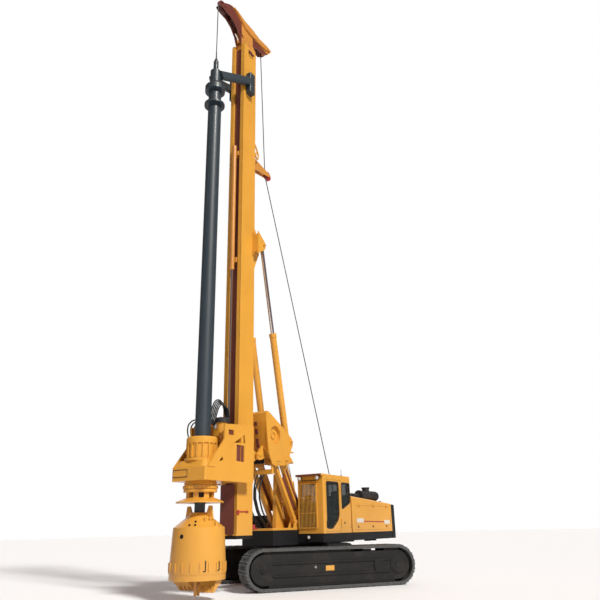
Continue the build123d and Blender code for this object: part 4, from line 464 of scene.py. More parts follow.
class Shape:
    """A mesh put together from rings of points."""

    def __init__(self):
        self.mesh = bmesh.new()

    def stitch(self, rings, closed=False):
        """Join rings that have the same number of points, and cap the ends of an open row of rings."""
        loops = [[self.mesh.verts.new(point) for point in ring] for ring in rings]
        following = loops[1:] + loops[:1] if closed else loops[1:]
        for first, second in zip(loops, following):
            for a in range(len(first)):
                b = (a + 1) % len(first)
                self.mesh.faces.new((first[a], first[b], second[b], second[a]))
        if not closed:
            self.mesh.faces.new(loops[0])
            self.mesh.faces.new(loops[-1])

    def box(self, centre, size, turn=Matrix.Identity(3)):
        x, y, z = (part / 2 for part in size)
        corners = ((-x, -y), (x, -y), (x, y), (-x, y))
        self.stitch([[Vector(centre) + turn @ Vector((a, b, level)) for a, b in corners] for level in (-z, z)])

    def slab(self, points, start, thick, across, up):
        """A flat outline, drawn with (across, up) from start, made thick at right angles."""
        across, up = Vector(across), Vector(up)
        out = across.cross(up).normalized()
        self.stitch([[Vector(start) + across * a + up * b + out * level for a, b in points]
                     for level in (-thick / 2, thick / 2)])

    def turned(self, base, axis, profile, sides=28, closed=False):
        """A round form: the profile has (radius, distance along the axis)."""
        rings = [circle_points(base, axis, radius, sides, along=along) for radius, along in profile]
        self.stitch(rings, closed)

    def bolt(self, place, axis, size=0.018):
        """A washer and a six-sided head that stand on a face."""
        self.turned(place, axis, ((1.35 * size, 0), (1.35 * size, 0.25 * size), (size, 0.3 * size)), 12)
        self.turned(place, axis, ((size, 0.3 * size), (size, size), (0.8 * size, 1.15 * size)), 6)

    def rim(self, points, start, across, up, wide, thick):
        """A flat band along a closed outline, such as a gasket, half of it inside the outline."""
        across, up = Vector(across), Vector(up)
        out = across.cross(up).normalized()
        rings = []
        for before, spot, after in zip(points[-1:] + points[:-1], points, points[1:] + points[:1]):
            way = (Vector(after) - Vector(before)).normalized()
            aside = across * way[1] - up * way[0]
            middle = Vector(start) + across * spot[0] + up * spot[1]
            rings.append([middle + aside * a * wide / 2 + out * b * thick / 2
                          for a, b in ((-1, -1), (1, -1), (1, 1), (-1, 1))])
        self.stitch(rings, closed=True)

    def pipe(self, points, radius, sides=10, steps=6):
        """A round hose through the points, on a smooth curve."""
        line = smooth_line([Vector(point) for point in points], steps)
        side = None
        rings = []
        for index, spot in enumerate(line):
            ahead = (line[min(index + 1, len(line) - 1)] - line[max(index - 1, 0)]).normalized()
            if side is None:
                side = ahead.orthogonal().normalized()
            side = (side - ahead * side.dot(ahead)).normalized()
            other = ahead.cross(side)
            rings.append([spot + (side * math.cos(math.tau * turn / sides)
                                  + other * math.sin(math.tau * turn / sides)) * radius
                          for turn in range(sides)])
        self.stitch(rings)

    def piece(self, name, body, material, slot, soften=0.003, replaces=()):
        """Make the object: outward faces, smooth curves, small bevels, and a body to ride on.
        A piece given no body is left unattached."""
        bmesh.ops.recalc_face_normals(self.mesh, faces=self.mesh.faces)
        data = bpy.data.meshes.new(name)
        self.mesh.to_mesh(data)
        self.mesh.free()
        data.materials.append(material)
        data.polygons.foreach_set("use_smooth", [True] * len(data.polygons))
        data.set_sharp_from_angle(angle=EDGE_SHARP)
        made = new_object(name, data)
        if soften:
            bevel = made.modifiers.new("soft edges", "BEVEL")
            bevel.width = soften
            bevel.segments = 2
            bevel.angle_limit = EDGE_SHARP
            bevel.harden_normals = True
        if body:
            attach(made, body)
        if replaces:
            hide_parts(*replaces)
        print(name, "on", body, "faces", len(data.polygons))
        return made


print("shape helper ready")

# %% [markdown]
# ## Lines and faces
# A hose is a smooth curve through a few points, a gasket has round corners and bolts stand in a circle. A
# bolt also has to stand on a face, and the CAD model knows where that face is, so a ray is sent to find it.

# %% Curves, circles and faces


def smooth_line(points, steps):
    """Points on a curve that passes through the given points."""
    if len(points) == 2:
        return points
    ends = [points[0] * 2 - points[1]] + points + [points[-1] * 2 - points[-2]]
    line = []
    for a, b, c, d in zip(ends, ends[1:], ends[2:], ends[3:]):
        for step in range(steps):
            t = step / steps
            line.append(0.5 * ((2 * b) + (c - a) * t + (2 * a - 5 * b + 4 * c - d) * t * t
                               + (3 * b - a - 3 * c + d) * t ** 3))
    return line + [points[-1]]


def circle_points(centre, axis, radius, count, start=0.0, along=0.0):
    """Points round an axis, at a distance along it."""
    turn = Vector(axis).normalized().to_track_quat("Z", "Y")
    angles = [math.tau * (step + start) / count for step in range(count)]
    return [Vector(centre) + turn @ Vector((radius * math.cos(angle), radius * math.sin(angle), along))
            for angle in angles]


def rounded(points, radius, steps=4):
    """A closed outline with its corners rounded off."""
    line = []
    for before, corner, after in zip(points[-1:] + points[:-1], points, points[1:] + points[:1]):
        spot = Vector(corner)
        first = spot + (Vector(before) - spot).normalized() * radius
        last = spot + (Vector(after) - spot).normalized() * radius
        for step in range(steps + 1):
            t = step / steps
            line.append(tuple(first * (1 - t) ** 2 + spot * 2 * t * (1 - t) + last * t * t))
    return line


def meets(node, start, way):
    """Where a straight line first meets a node of the CAD."""
    thing = nodes[node]
    inverse = thing.matrix_world.inverted()
    hit, spot, _, _ = thing.ray_cast(inverse @ Vector(start), inverse.to_3x3() @ Vector(way))
    if not hit:
        raise ValueError(f"{node} is not met from {tuple(start)}")
    return thing.matrix_world @ spot


X, Y, Z = Vector((1, 0, 0)), Vector((0, 1, 0)), Vector((0, 0, 1))
bpy.context.view_layer.update()
print("curves, circles and faces ready")

# %% [markdown]
# ## Hoist rope
# A steel rope runs from the winch behind the cab to the red sheave behind the mast, up to the crown, over its
# two sheaves and down to the swivel on the kelly bar. It is taut, so each stretch between two wheels is
# straight. First come its finish and the part over the crown, whose arcs follow from the sheaves' places.

# %% Rope
ROPE_R = 0.016
KELLY_X = 5.173
FRONT_SHEAVE = (4.933, 18.930)
REAR_SHEAVE = (2.840, 18.870)
GUIDE_SHEAVE = (2.150, 13.450)
GUIDE_LINE_R = 0.15
WINCH = (-2.580, 1.960)
WINCH_LINE_R = 0.318


def steel_rope_finish():
    """Strands show as fine slanting ridges."""
    finish = Finish("steel_rope", Metallic=0.8)
    spot = finish.place()
    strands = finish.node("ShaderNodeTexWave", {"bands_direction": "DIAGONAL"},
                          {"Vector": spot, "Scale": 18.0, "Distortion": 0.4})
    finish.set("Base Color", finish.blend(strands, (0.03, 0.03, 0.035), (0.14, 0.14, 0.15)))
    finish.set("Roughness", strands * 0.2 + 0.4)
    finish.bump(strands, 0.4, 0.003)
    return finish.material


def arc(centre, radius, first, last, steps=10):
    """Points round a sheave, between two angles from +X towards +Z."""
    return [Vector((centre[0] + radius * math.cos(math.radians(first + (last - first) * step / steps)), 0,
                    centre[1] + radius * math.sin(math.radians(first + (last - first) * step / steps))))
            for step in range(steps + 1)]


def lay_rope(name, body, points, sides=8):
    """A taut stretch of rope through the points."""
    rope = Shape()
    rope.pipe(points, ROPE_R, sides, 1)
    return rope.piece(name, body, steel_rope, "bright_steel", 0)


steel_rope = steel_rope_finish()
top_slope = math.degrees(math.atan2(REAR_SHEAVE[1] - FRONT_SHEAVE[1], REAR_SHEAVE[0] - FRONT_SHEAVE[0]))
over_crown = arc(FRONT_SHEAVE, KELLY_X - FRONT_SHEAVE[0], 0, top_slope - 90)
over_crown += arc(REAR_SHEAVE, KELLY_X - FRONT_SHEAVE[0], top_slope - 90, 180)
lay_rope("rope_over_crown", "mast", over_crown)
print("rope round", len(over_crown), "points, slope", round(top_slope, 2))

# %% [markdown]
# ## Rope from the crown to the winch
# From the rear sheave the rope comes down the mast's back, turns round the guide sheave and runs to the
# drum. The stretch to the drum changes its length, so it is a piece of its own on no body, with its place
# baked into its points. It has points at its ends only, which keeps it straight.

# %% Rope from the crown to the winch
guide_to_winch = Vector((WINCH[0] - GUIDE_SHEAVE[0], 0, WINCH[1] - GUIDE_SHEAVE[1]))
down_slope = math.degrees(math.atan2(guide_to_winch.z, guide_to_winch.x))
round_guide = arc(GUIDE_SHEAVE, GUIDE_LINE_R, 0, down_slope + 90, 6)
lay_rope("rope_down_the_mast", "mast", [over_crown[-1]] + round_guide)
leaves = round_guide[-1]
reaches = arc(WINCH, WINCH_LINE_R, down_slope + 90, down_slope + 90, 1)[-1]
long_rope = lay_rope("rope_to_winch", None, [leaves, reaches])
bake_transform(long_rope)
print("rope to the winch", round((leaves - reaches).length, 2), "m")

# %% [markdown]
# ## Rope to the swivel
# The last stretch hangs from the front sheave to the swivel above the kelly bar and grows when the kelly
# goes down. It is again a piece on no body, with no points between its ends.

# %% Rope to the swivel
SWIVEL_TOP = 16.76
hangs_from = Vector((KELLY_X, 0, FRONT_SHEAVE[1]))
short_rope = lay_rope("rope_to_swivel", None, [hangs_from, (KELLY_X, 0, SWIVEL_TOP)])
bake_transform(short_rope)
print("rope to the swivel", round(hangs_from.z - SWIVEL_TOP, 2), "m")

# %% [markdown]
# ## Wraps on the winch
# The rope lies on the drum in close turns between the two flanges. One long spiral gives them all.

# %% Rope on the drum
WRAPS = 17
WRAP_SPAN = 0.56
WRAP_STEPS = 20
spiral = []
for step in range(WRAP_STEPS * WRAPS + 1):
    angle = math.tau * step / WRAP_STEPS
    spiral.append(Vector((WINCH[0] + WINCH_LINE_R * math.cos(angle),
                          WRAP_SPAN * (step / (WRAP_STEPS * WRAPS) - 0.5),
                          WINCH[1] + WINCH_LINE_R * math.sin(angle))))
lay_rope("winch_wraps", "winch_drum", spiral, 6)

# %% [markdown]
# ## Pins of the linkage
# Every pin is held by a round cap with a keeper plate and two bolts. Each cap is set on the outermost face of
# its lug, which a straight line from outside finds on the CAD model.

# %% Pin caps
PINS = (
    # name, node, body, x, z, cap's radius
    ("arm_foot", "nose_deck", "upper", 0.860, 1.800, 0.072),
    ("strut_foot", "nose_deck", "upper", 1.300, 1.760, 0.072),
    ("arm_head", "carrier_frame", "carrier", 1.990, 3.480, 0.080),
    ("strut_head", "carrier_frame", "carrier", 2.430, 3.440, 0.080),
    ("mast_pivot", "carrier_frame", "carrier", 3.080, 3.560, 0.105),
    ("stay_foot", "carrier_frame", "carrier", 1.700, 4.060, 0.072),
    ("stay_head", "mast_column", "mast", 3.060, 10.200, 0.075),
)
for name, node, body, x, z, radius in PINS:
    caps = Shape()
    for side in (1, -1):
        face = meets(node, (x, 2.0 * side, z), (0, -side, 0))
        out = Y * side
        caps.turned(face, out, ((radius, 0), (radius, 0.014), (0.9 * radius, 0.018), (0.45 * radius, 0.018),
                                (0.42 * radius, 0.012)), 32)
        caps.box(face + out * 0.026 + Z * 0.3 * radius, (1.7 * radius, 0.016, 0.5 * radius))
        for aside in (-0.6, 0.6):
            caps.bolt(face + out * 0.034 + Z * 0.3 * radius + X * aside * radius, out, 0.014)
    caps.piece("pin_" + name, body, yellow_enamel, "yellow_paint", 0.002)

# %% [markdown]
# ## Bolt rings
# Flanges are held by rings of bolts. Each bolt's place on its flange is found on the CAD face below it.

# %% Bolt rings
RINGS = (
    # name, node, body, centre, axis, radius, bolts, size
    ("gearbox_flange", "head_gearbox", "power_head", (KELLY_X, 0, 3.40), (0, 0, 1), 0.424, 32, 0.011),
    ("flange_studs", "head_gearbox", "power_head", (KELLY_X, 0, 3.18), (0, 0, -1), 0.424, 32, 0.010),
    ("left_cap", "motor_caps", "power_head", (4.670, 0.255, 4.6), (0, 0, 1), 0.170, 8, 0.010),
    ("right_cap", "motor_caps", "power_head", (4.670, -0.255, 4.6), (0, 0, 1), 0.170, 8, 0.010),
    ("kelly_collar", "kelly_bar", "kelly", (KELLY_X, 0, 14.8), (0, 0, 1), 0.290, 16, 0.013),
    ("collar_studs", "kelly_bar", "kelly", (KELLY_X, 0, 14.3), (0, 0, -1), 0.290, 16, 0.012),
    ("guide_cap", "kelly_guide", "kelly_guide", (KELLY_X, 0, 15.6), (0, 0, 1), 0.285, 16, 0.012),
    ("swivel_flange", "swivel", "kelly_guide", (KELLY_X, 0, 16.2), (0, 0, 1), 0.103, 8, 0.008),
    ("bucket_neck", "bucket_shell", "kelly", (KELLY_X, 0, 2.5), (0, 0, 1), 0.195, 12, 0.010),
)
for name, node, body, centre, axis, radius, count, size in RINGS:
    bolts = Shape()
    for place in circle_points(centre, axis, radius, count, 0.5):
        bolts.bolt(meets(node, place, -Vector(axis)), axis, size)
    bolts.piece("bolts_" + name, body, dark_enamel, "dark_paint", 0)

# %% [markdown]
# ## Bolts of the track shoes
# Four bolts hold each shoe to its chain. The undercarriage stands turned under the upper structure, so these
# places are laid out along the track and turned with it.

# %% Bolts of the shoes
TRACK_YAW = math.radians(-36.5)
TRACK_MID = 1.755
TRACK_AXLE = 0.555
TRACK_STRAIGHT = 4.160
BESIDE_TRACK = 3.0
LOOP_R = TRACK_AXLE - 0.034
SHOE_R = LOOP_R + 0.016
SHOES = 54
ALONG = Vector((math.cos(TRACK_YAW), math.sin(TRACK_YAW), 0))
ASIDE = Vector((-math.sin(TRACK_YAW), math.cos(TRACK_YAW), 0))


def on_loop(share):
    """Place and outward direction on the track's loop, as distance along and height."""
    bend = math.pi * LOOP_R
    way = share * 2 * (TRACK_STRAIGHT + bend)
    half = TRACK_STRAIGHT / 2
    if way < TRACK_STRAIGHT:
        return half - way, TRACK_AXLE + SHOE_R, 0, 1
    way -= TRACK_STRAIGHT
    if way < bend:
        turn = math.pi * way / bend
        sine, cosine = math.sin(turn), math.cos(turn)
        return -half - SHOE_R * sine, TRACK_AXLE + SHOE_R * cosine, -sine, cosine
    way -= bend
    if way < TRACK_STRAIGHT:
        return -half + way, TRACK_AXLE - SHOE_R, 0, -1
    turn = math.pi * (way - TRACK_STRAIGHT) / bend
    sine, cosine = math.sin(turn), math.cos(turn)
    return half + SHOE_R * sine, TRACK_AXLE - SHOE_R * cosine, sine, -cosine


for name, side in (("left", 1), ("right", -1)):
    bolts = Shape()
    for shoe in range(SHOES):
        for part in (0.40, 0.57):
            along, up, out_along, out_up = on_loop((shoe + part) / SHOES)
            out = ALONG * out_along + Z * out_up
            for across in (-0.09, 0.09):
                place = ALONG * along + ASIDE * (side * TRACK_MID + across) + Z * up
                bolts.turned(place, out, ((0.017, 0), (0.017, 0.012), (0.012, 0.015)), 6)
    bolts.piece("shoe_bolts_" + name, "undercarriage", track_steel, "track_steel", 0)

# %% [markdown]
# ## Hubs of the side frames
# At its ends a side frame carries the wide round cover of the track's drive and the small one of the
# idler's axle, each with a ring of bolts. A turned profile gives the cover, and the frame's face says how
# far out it stands.

# %% Hubs and covers on the side frames
def on_frame(name, side, along, up):
    """The outer face of a side frame, where a line from beside the track meets it."""
    return meets("side_frame_" + name, ALONG * along + ASIDE * side * BESIDE_TRACK + Z * up, ASIDE * -side)


for name, side in (("left", 1), ("right", -1)):
    hubs = Shape()
    for along, radius, count in ((-TRACK_STRAIGHT / 2, 0.20, 12), (TRACK_STRAIGHT / 2, 0.085, 6)):
        face = on_frame(name, side, along, TRACK_AXLE)
        out = ASIDE * side
        hubs.turned(face, out, ((1.25 * radius, 0), (1.25 * radius, 0.016), (0.95 * radius, 0.022),
                                (0.55 * radius, 0.022), (0.5 * radius, 0.034), (0.2 * radius, 0.036)), 36)
        for place in circle_points(face + out * 0.016, out, 1.1 * radius, count):
            hubs.bolt(place, out, 0.012)
    hubs.piece("hubs_" + name, "undercarriage", track_steel, "track_steel", 0.002)

# %% [markdown]
# ## Inside the track loop
# Flat strips guide the chain inside its loop, over the rollers at the bottom and in three lengths under the
# top run. A blank yellow plate and a bright grease plug sit on the frame's outer face. All of them are
# boxes and one turned form, laid out along the track.

# %% Guards inside the track loop
GUARDS = (
    # from and to along the track, foot, height
    (-1.95, 1.95, 0.104, 0.075),
    (-2.10, -1.64, 0.935, 0.072),
    (-1.23, -0.94, 0.935, 0.072),
    (-0.52, 2.10, 0.935, 0.072),
)
TURN = Matrix.Rotation(TRACK_YAW, 3, "Z")
for name, side in (("left", 1), ("right", -1)):
    guards = Shape()
    for first, last, foot, tall in GUARDS:
        for aside in (-0.255, 0.255):
            middle = ALONG * (first + last) / 2 + ASIDE * (side * TRACK_MID + aside) + Z * (foot + tall / 2)
            guards.box(middle, (last - first, 0.03, tall), TURN)
    guards.piece("track_guards_" + name, "undercarriage", track_steel, "track_steel", 0.003)
    plate = Shape()
    plate.box(on_frame(name, side, 0.12, 0.54) + ASIDE * side * 0.003, (0.26, 0.006, 0.13), TURN)
    plate.piece("frame_plate_" + name, "undercarriage", yellow_enamel, "yellow_paint", 0.001)
    plug = Shape()
    plug.turned(on_frame(name, side, 0.56, 0.58) - ASIDE * side * 0.002, ASIDE * side,
                ((0.034, 0), (0.034, 0.008), (0.026, 0.014)), 24)
    plug.piece("grease_plug_" + name, "undercarriage", ground_steel, "bright_steel", 0)

# %% [markdown]
# ## Webs of the boom arms
# Each boom arm has two thin dark oxide red plates along its front, painted shade where the arm's front
# face and the gap to its strut lie in shade. They stop short of the strut in front of the arm, which comes
# nearer when the boom leans forward.

# %% Painted shade on the boom arms
ARM_FOOT = Vector((0.860, 0, 1.800))
ARM_RUN = Vector((1.130, 0, 1.680)).normalized()
ARM_FORE = Vector((ARM_RUN.z, 0, -ARM_RUN.x))
shade_plates = Shape()
for side in (-1, 1):
    # Painted shade: dark plates in front of each arm and along its outer face.
    shade_plates.slab(((0.42, 0.05), (1.72, 0.05), (1.60, 0.262), (0.56, 0.262)),
              ARM_FOOT + Y * side * 0.40, 0.012, ARM_RUN, ARM_FORE)
    shade_plates.slab(((0.26, -0.045), (1.76, -0.045), (1.76, 0.050), (0.26, 0.050)),
              ARM_FOOT + Y * side * 0.465, 0.006, ARM_RUN, ARM_FORE)
shade_plates.piece("arm_webs", "boom_arms", oxide_red, "sheave_red", 0.001)

# %% [markdown]
# ## Hoses of the power head
# Every motor is fed by thick hoses. Three leave the head's side in a wide arc and end on its side plate, and
# five more arch over its top. A hose is a pipe on a smooth curve, and its neighbours repeat it a little closer
# in.

# %% Hoses of the power head
HEAD_HOSE_R = 0.019
hoses = Shape()
for step in range(3):
    near = 0.045 * step
    reach = 1.04 - 1.6 * near
    hoses.pipe([(4.60 - near, -0.43, 4.10), (4.60 - near, -0.48, 4.38 - near),
                (4.60 - near, -(0.55 + reach) / 2, 4.50 - near), (4.58 - near, -reach, 4.36 - near),
                (4.52 - near, -reach, 4.02), (4.44 - near, -(0.62 + 0.3 * (reach - 0.62)), 3.66),
                (4.36 - near, -0.612, 3.40)], HEAD_HOSE_R)
for step in range(5):
    near = 0.055 * step
    hoses.pipe([(4.50, -0.36 + near, 4.20), (4.46, -0.36 + near, 4.55), (4.40, -0.26 + near, 4.98 - 0.5 * near),
                (4.28, -0.12 + near, 5.00 - near), (4.21, -0.02 + 0.6 * near, 4.60),
                (4.20, 0.02 + 0.6 * near, 4.24)], HEAD_HOSE_R)
hoses.piece("head_hoses", "power_head", hose_rubber, "dark_plastic", 0)
fittings = Shape()
for step in range(3):
    for place, out in (((4.36 - 0.045 * step, -0.578, 3.40), -Y), ((4.60 - 0.045 * step, -0.41, 4.08), Z - Y)):
        fittings.turned(place, out, ((0.028, 0), (0.028, 0.035), (0.022, 0.04), (0.022, 0.06)), 6)
fittings.piece("head_fittings", "power_head", ground_steel, "bright_steel", 0.001)

# %% [markdown]
# ## Hose bundle of the linkage
# Between the nose and the carrier hangs a bundle in two halves, because the boom arms move between them.
# Each half is a piece on no body, with its place baked into its points. Both halves meet at one point, and
# each hose sways aside a little, as hoses of unequal length do.

# %% Hose bundle between nose and carrier
MIDWAY = (2.88, 2.42)
LAY = (-0.24, -0.12, 0.0, 0.12, 0.22)
BUNDLE_HOSE_R = 0.024
lower, upper = Shape(), Shape()
for index, y in enumerate(LAY):
    sway = 0.05 * math.sin(2.4 * index)
    middle = (MIDWAY[0] + sway, y, MIDWAY[1])
    lower.pipe([(2.30 + sway, y, 1.61), (2.40 + sway, y, 1.76), (2.70 + sway, y, 2.04), middle], BUNDLE_HOSE_R)
    upper.pipe([middle, (2.87 + sway, y, 2.68), (2.76, y, 2.92), (2.66, y, 3.08)], BUNDLE_HOSE_R)
lower_half = lower.piece("hose_bundle_lower", None, hose_rubber, "dark_plastic", 0)
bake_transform(lower_half)
upper_half = upper.piece("hose_bundle_upper", None, hose_rubber, "dark_plastic", 0)
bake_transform(upper_half)

# %% [markdown]
# ## Bar and valve block
# The bundle ends at a yellow bar, which two plates hold under the carrier, and above it sits a valve block
# with four caps. Boxes and turned caps are enough, since they are seen from the ground, between the arms.

# %% Bar and valve block under the carrier
bar = Shape()
bar.box((2.62, 0, 3.15), (0.11, 1.02, 0.13))
for side in (-1, 1):
    bar.box((2.62, side * 0.492, 3.33), (0.11, 0.024, 0.44))
bar.piece("hose_bar", "carrier", yellow_enamel, "yellow_paint", 0.004)
block = Shape()
block.box((2.74, 0, 3.50), (0.22, 0.44, 0.22))
for y in (-0.15, -0.05, 0.05, 0.15):
    block.turned((2.85, y, 3.52), X, ((0.035, 0), (0.035, 0.03), (0.02, 0.035), (0.02, 0.06)), 12)
    block.bolt((2.70, y, 3.61), Z, 0.012)
block.piece("valve_block", "carrier", dark_enamel, "dark_paint", 0.003)

# %% [markdown]
# ## Gaskets of the cab
# The panes sit in black rubber gaskets with round corners. A gasket is a flat band along the pane's outline,
# half of it over the glass.

# %% Gaskets
DOOR_PANE = ((0.400, 2.900), (1.150, 2.900), (1.150, 1.590), (0.830, 1.590), (0.490, 1.810), (0.400, 1.980))
QUARTER_PANE = ((-0.350, 2.900), (0.200, 2.900), (0.200, 2.130), (-0.350, 2.330))
RIGHT_PANE = ((-0.300, 2.900), (1.150, 2.900), (1.150, 2.100), (-0.300, 2.100))
for name, outline, body, y in (("door", DOOR_PANE, "cab_door", 1.444),
                               ("quarter", QUARTER_PANE, "upper", 1.444),
                               ("right", RIGHT_PANE, "upper", 0.538)):
    gasket = Shape()
    gasket.rim(rounded(outline, 0.07, 5), (0, y, 0), X, Z, 0.036, 0.012)
    gasket.piece("gasket_" + name, body, hose_rubber, "dark_plastic", 0.002)

# %% [markdown]
# ## Guard of the front pane
# Thin round bars in a frame keep stones off the front pane. The CAD model has wide flat bars in their
# place, which hide the glass, so this piece stands for them.

# %% Guard of the front pane
GUARD_MID = (0.900, 2.230)
GUARD_SIZE = (0.640, 1.280)
GUARD_BARS = 13
BAR_R = 0.0065
guard = Shape()
half_wide, half_tall = GUARD_SIZE[0] / 2 - 0.012, GUARD_SIZE[1] / 2 - 0.012
corners = ((-half_wide, -half_tall), (half_wide, -half_tall), (half_wide, half_tall), (-half_wide, half_tall))
guard.rim(rounded(corners, 0.03), (1.350, *GUARD_MID), Y, Z, 0.024, 0.028)
for bar in range(GUARD_BARS):
    y = GUARD_MID[0] + GUARD_SIZE[0] * ((bar + 1) / (GUARD_BARS + 1) - 0.5)
    guard.turned((1.362, y, GUARD_MID[1] - half_tall), Z, ((BAR_R, 0), (BAR_R, 2 * half_tall)), 8)
for part in (-1, 1):
    guard.turned((1.355, GUARD_MID[0] - half_wide, GUARD_MID[1] + part * GUARD_SIZE[1] / 6), Y,
                 ((BAR_R, 0), (BAR_R, 2 * half_wide)), 8)
guard.piece("front_guard", "upper", yellow_enamel, "yellow_paint", 0, ("cab_guard",))

# %% [markdown]
# ## Lamps
# A work lamp is a black case with a reflector of small facets behind a clear lens. From far off it is a
# pale disc with some unevenness, so a noise of pale greys on a slightly domed disc stands for both, with the
# facets' glints painted into its colour.

# %% Lamps
lamp_glass = Finish("lamp_glass", Roughness=0.08, Coat_Weight=0.5)
# Painted glints: the reflector's facets as a noise of pale greys.
facet_glints = lamp_glass.noise(60.0, 1.0)
lamp_glass.set("Base Color", lamp_glass.blend(facet_glints, (0.75, 0.77, 0.8), (0.95, 0.96, 0.97)))
LAMPS = (
    # name, body, place of the lens, axis, radius
    ("cab_left", "upper", (1.450, 1.300, 3.000), (1, 0, -0.15), 0.058),
    ("cab_right", "upper", (1.450, 0.690, 3.000), (1, 0, -0.15), 0.058),
    ("skirt", "upper", (1.375, 0.930, 1.350), (1, 0, 0), 0.050),
    ("crown", "mast", (4.800, 0.000, 19.175), (1, 0, -0.5), 0.055),
)
for name, body, place, axis, radius in LAMPS:
    out = Vector(axis).normalized()
    case = Shape()
    case.turned(Vector(place) - out * 0.07, out,
                ((0.5 * radius, 0), (0.9 * radius, 0.02), (1.15 * radius, 0.05), (1.15 * radius, 0.078),
                 (radius, 0.078), (radius, 0.068)), 24)
    case.piece("lamp_case_" + name, body, black_plastic, "dark_plastic", 0.002)
    lens = Shape()
    lens.turned(Vector(place) - out * 0.004, out,
                ((0.99 * radius, 0), (0.9 * radius, 0.008), (0.4 * radius, 0.014)), 24)
    lens.piece("lamp_lens_" + name, body, lamp_glass.material, "bright_steel", 0)

# %% [markdown]
# ## Trim of the cab
# A row of slots lets the warm air out above the guard, the wiper rests across the front pane, and lock,
# bolts, antenna and the door's handle break up the plain sides. The slots are black boxes, painted shade
# in their openings, and the dark oxide red band under the visor is painted shade. These are short boxes,
# turned forms and bent pipes on the faces of the shell.

# %% Slots, handle, lock, antenna, wiper
trim = Shape()
# Painted shade: black boxes stand for the dark insides of the slots.
for index in range(8):
    trim.box((1.3385, 0.74 + 0.062 * index, 2.935), (0.009, 0.044, 0.034))
trim.turned((0.05, 1.440, 1.73), Y, ((0.034, 0), (0.034, 0.008), (0.02, 0.011)), 20)
trim.turned((-0.10, 1.30, 3.115), Z, ((0.03, 0), (0.028, 0.03), (0.008, 0.045), (0.006, 0.21)), 12)
trim.pipe([(1.342, 0.72, 2.80), (1.347, 0.80, 2.50), (1.346, 0.98, 2.16)], 0.006, 8)
trim.box((1.343, 0.90, 2.33), (0.006, 0.014, 0.42), Matrix.Rotation(-0.35, 3, "X"))
for x, z in ((-0.33, 1.60), (0.26, 1.60), (0.26, 2.95)):
    trim.bolt((x, 1.442, z), Y, 0.010)
trim.piece("cab_trim", "upper", black_plastic, "dark_plastic", 0.001)
handle = Shape()
handle.box((1.176, 1.443, 1.69), (0.034, 0.006, 0.19))
handle.pipe([(1.176, 1.445, 1.765), (1.176, 1.462, 1.755), (1.176, 1.462, 1.635), (1.176, 1.445, 1.625)],
            0.007, 8, 3)
handle.piece("door_handle", "cab_door", black_plastic, "dark_plastic", 0.001)
# Painted shade: a dark oxide red band under the visor's edge.
visor = Shape()
visor.box((1.391, 0.991, 3.056), (0.10, 0.86, 0.006))
visor.box((1.4485, 0.991, 3.090), (0.005, 0.89, 0.052))
visor.piece("visor_lining", "upper", oxide_red, "sheave_red", 0.001)

# %% [markdown]
# ## Lining of the cab
# A cab is lined with dark panels inside. Without them its yellow shell would show through the panes. Thin
# boxes just inside the shell are enough behind tinted glass.

# %% Lining of the cab
LININGS = (
    # centre, size
    ((0.46, 0.991, 1.504), (1.62, 0.78, 0.008)),
    ((0.46, 0.991, 3.004), (1.62, 0.78, 0.010)),
    ((-0.350, 0.991, 2.03), (0.016, 0.78, 1.04)),
    ((0.46, 0.597, 1.795), (1.62, 0.010, 0.58)),
    ((-0.350, 0.640, 2.73), (0.016, 0.07, 0.36)),
    ((-0.350, 1.342, 2.73), (0.016, 0.07, 0.36)),
)
lining = Shape()
for centre, size in LININGS:
    lining.box(centre, size)
lining.piece("cab_lining", "upper", black_plastic, "dark_plastic", 0.002)

# %% [markdown]
# ## Levers and monitor
# A grip stands on each side of the seat, two levers with knobs in front of it, and a monitor at the front
# corner. Through the panes only their dark outlines show, which turned grips on bent pipes give.

# %% Levers and monitor
levers = Shape()
for y in (0.70, 1.345):
    levers.turned((0.52, y, 2.06), Z, ((0.045, 0), (0.035, 0.05), (0.014, 0.07), (0.014, 0.16),
                                       (0.026, 0.18), (0.03, 0.26), (0.018, 0.29)), 16)
for y in (0.98, 1.12):
    levers.pipe([(1.10, y, 1.50), (1.08, y, 1.66), (1.00, y, 1.80)], 0.012, 8, 4)
    levers.turned((1.00, y, 1.80), Z, ((0.012, 0), (0.026, 0.015), (0.026, 0.05), (0.012, 0.065)), 12)
screen = rounded(((-0.10, -0.07), (0.10, -0.07), (0.10, 0.07), (-0.10, 0.07)), 0.02)
levers.slab(screen, (1.02, 0.745, 2.47), 0.03, (-0.55, 0.83, 0), (-0.2, -0.13, 0.97))
levers.pipe([(1.06, 0.70, 2.34), (1.05, 0.72, 2.40), (1.02, 0.745, 2.45)], 0.012, 8, 3)
levers.piece("levers", "upper", black_plastic, "dark_plastic", 0.002)

# %% [markdown]
# ## Operator's seat
# The CAD model holds only the seat's plain solid. Here it becomes three cushions on a sprung base. A cushion
# is foam under sewn cloth that stands out between its seams, so each one is a closed form that is blown up as
# cloth by a steady pressure. No point moves further than 8 mm, which keeps the outline.

# %% Swelling a cushion as cloth
VOXEL = 0.010
PRESSURE = 4.0
SWELL = 0.008
CLOTH_STEPS = 20


def settle(made):
    """Put the mesh that the modifiers make in place of them."""
    bpy.context.view_layer.update()
    seen = made.evaluated_get(bpy.context.evaluated_depsgraph_get())
    data = bpy.data.meshes.new_from_object(seen)
    made.modifiers.clear()
    made.data = data


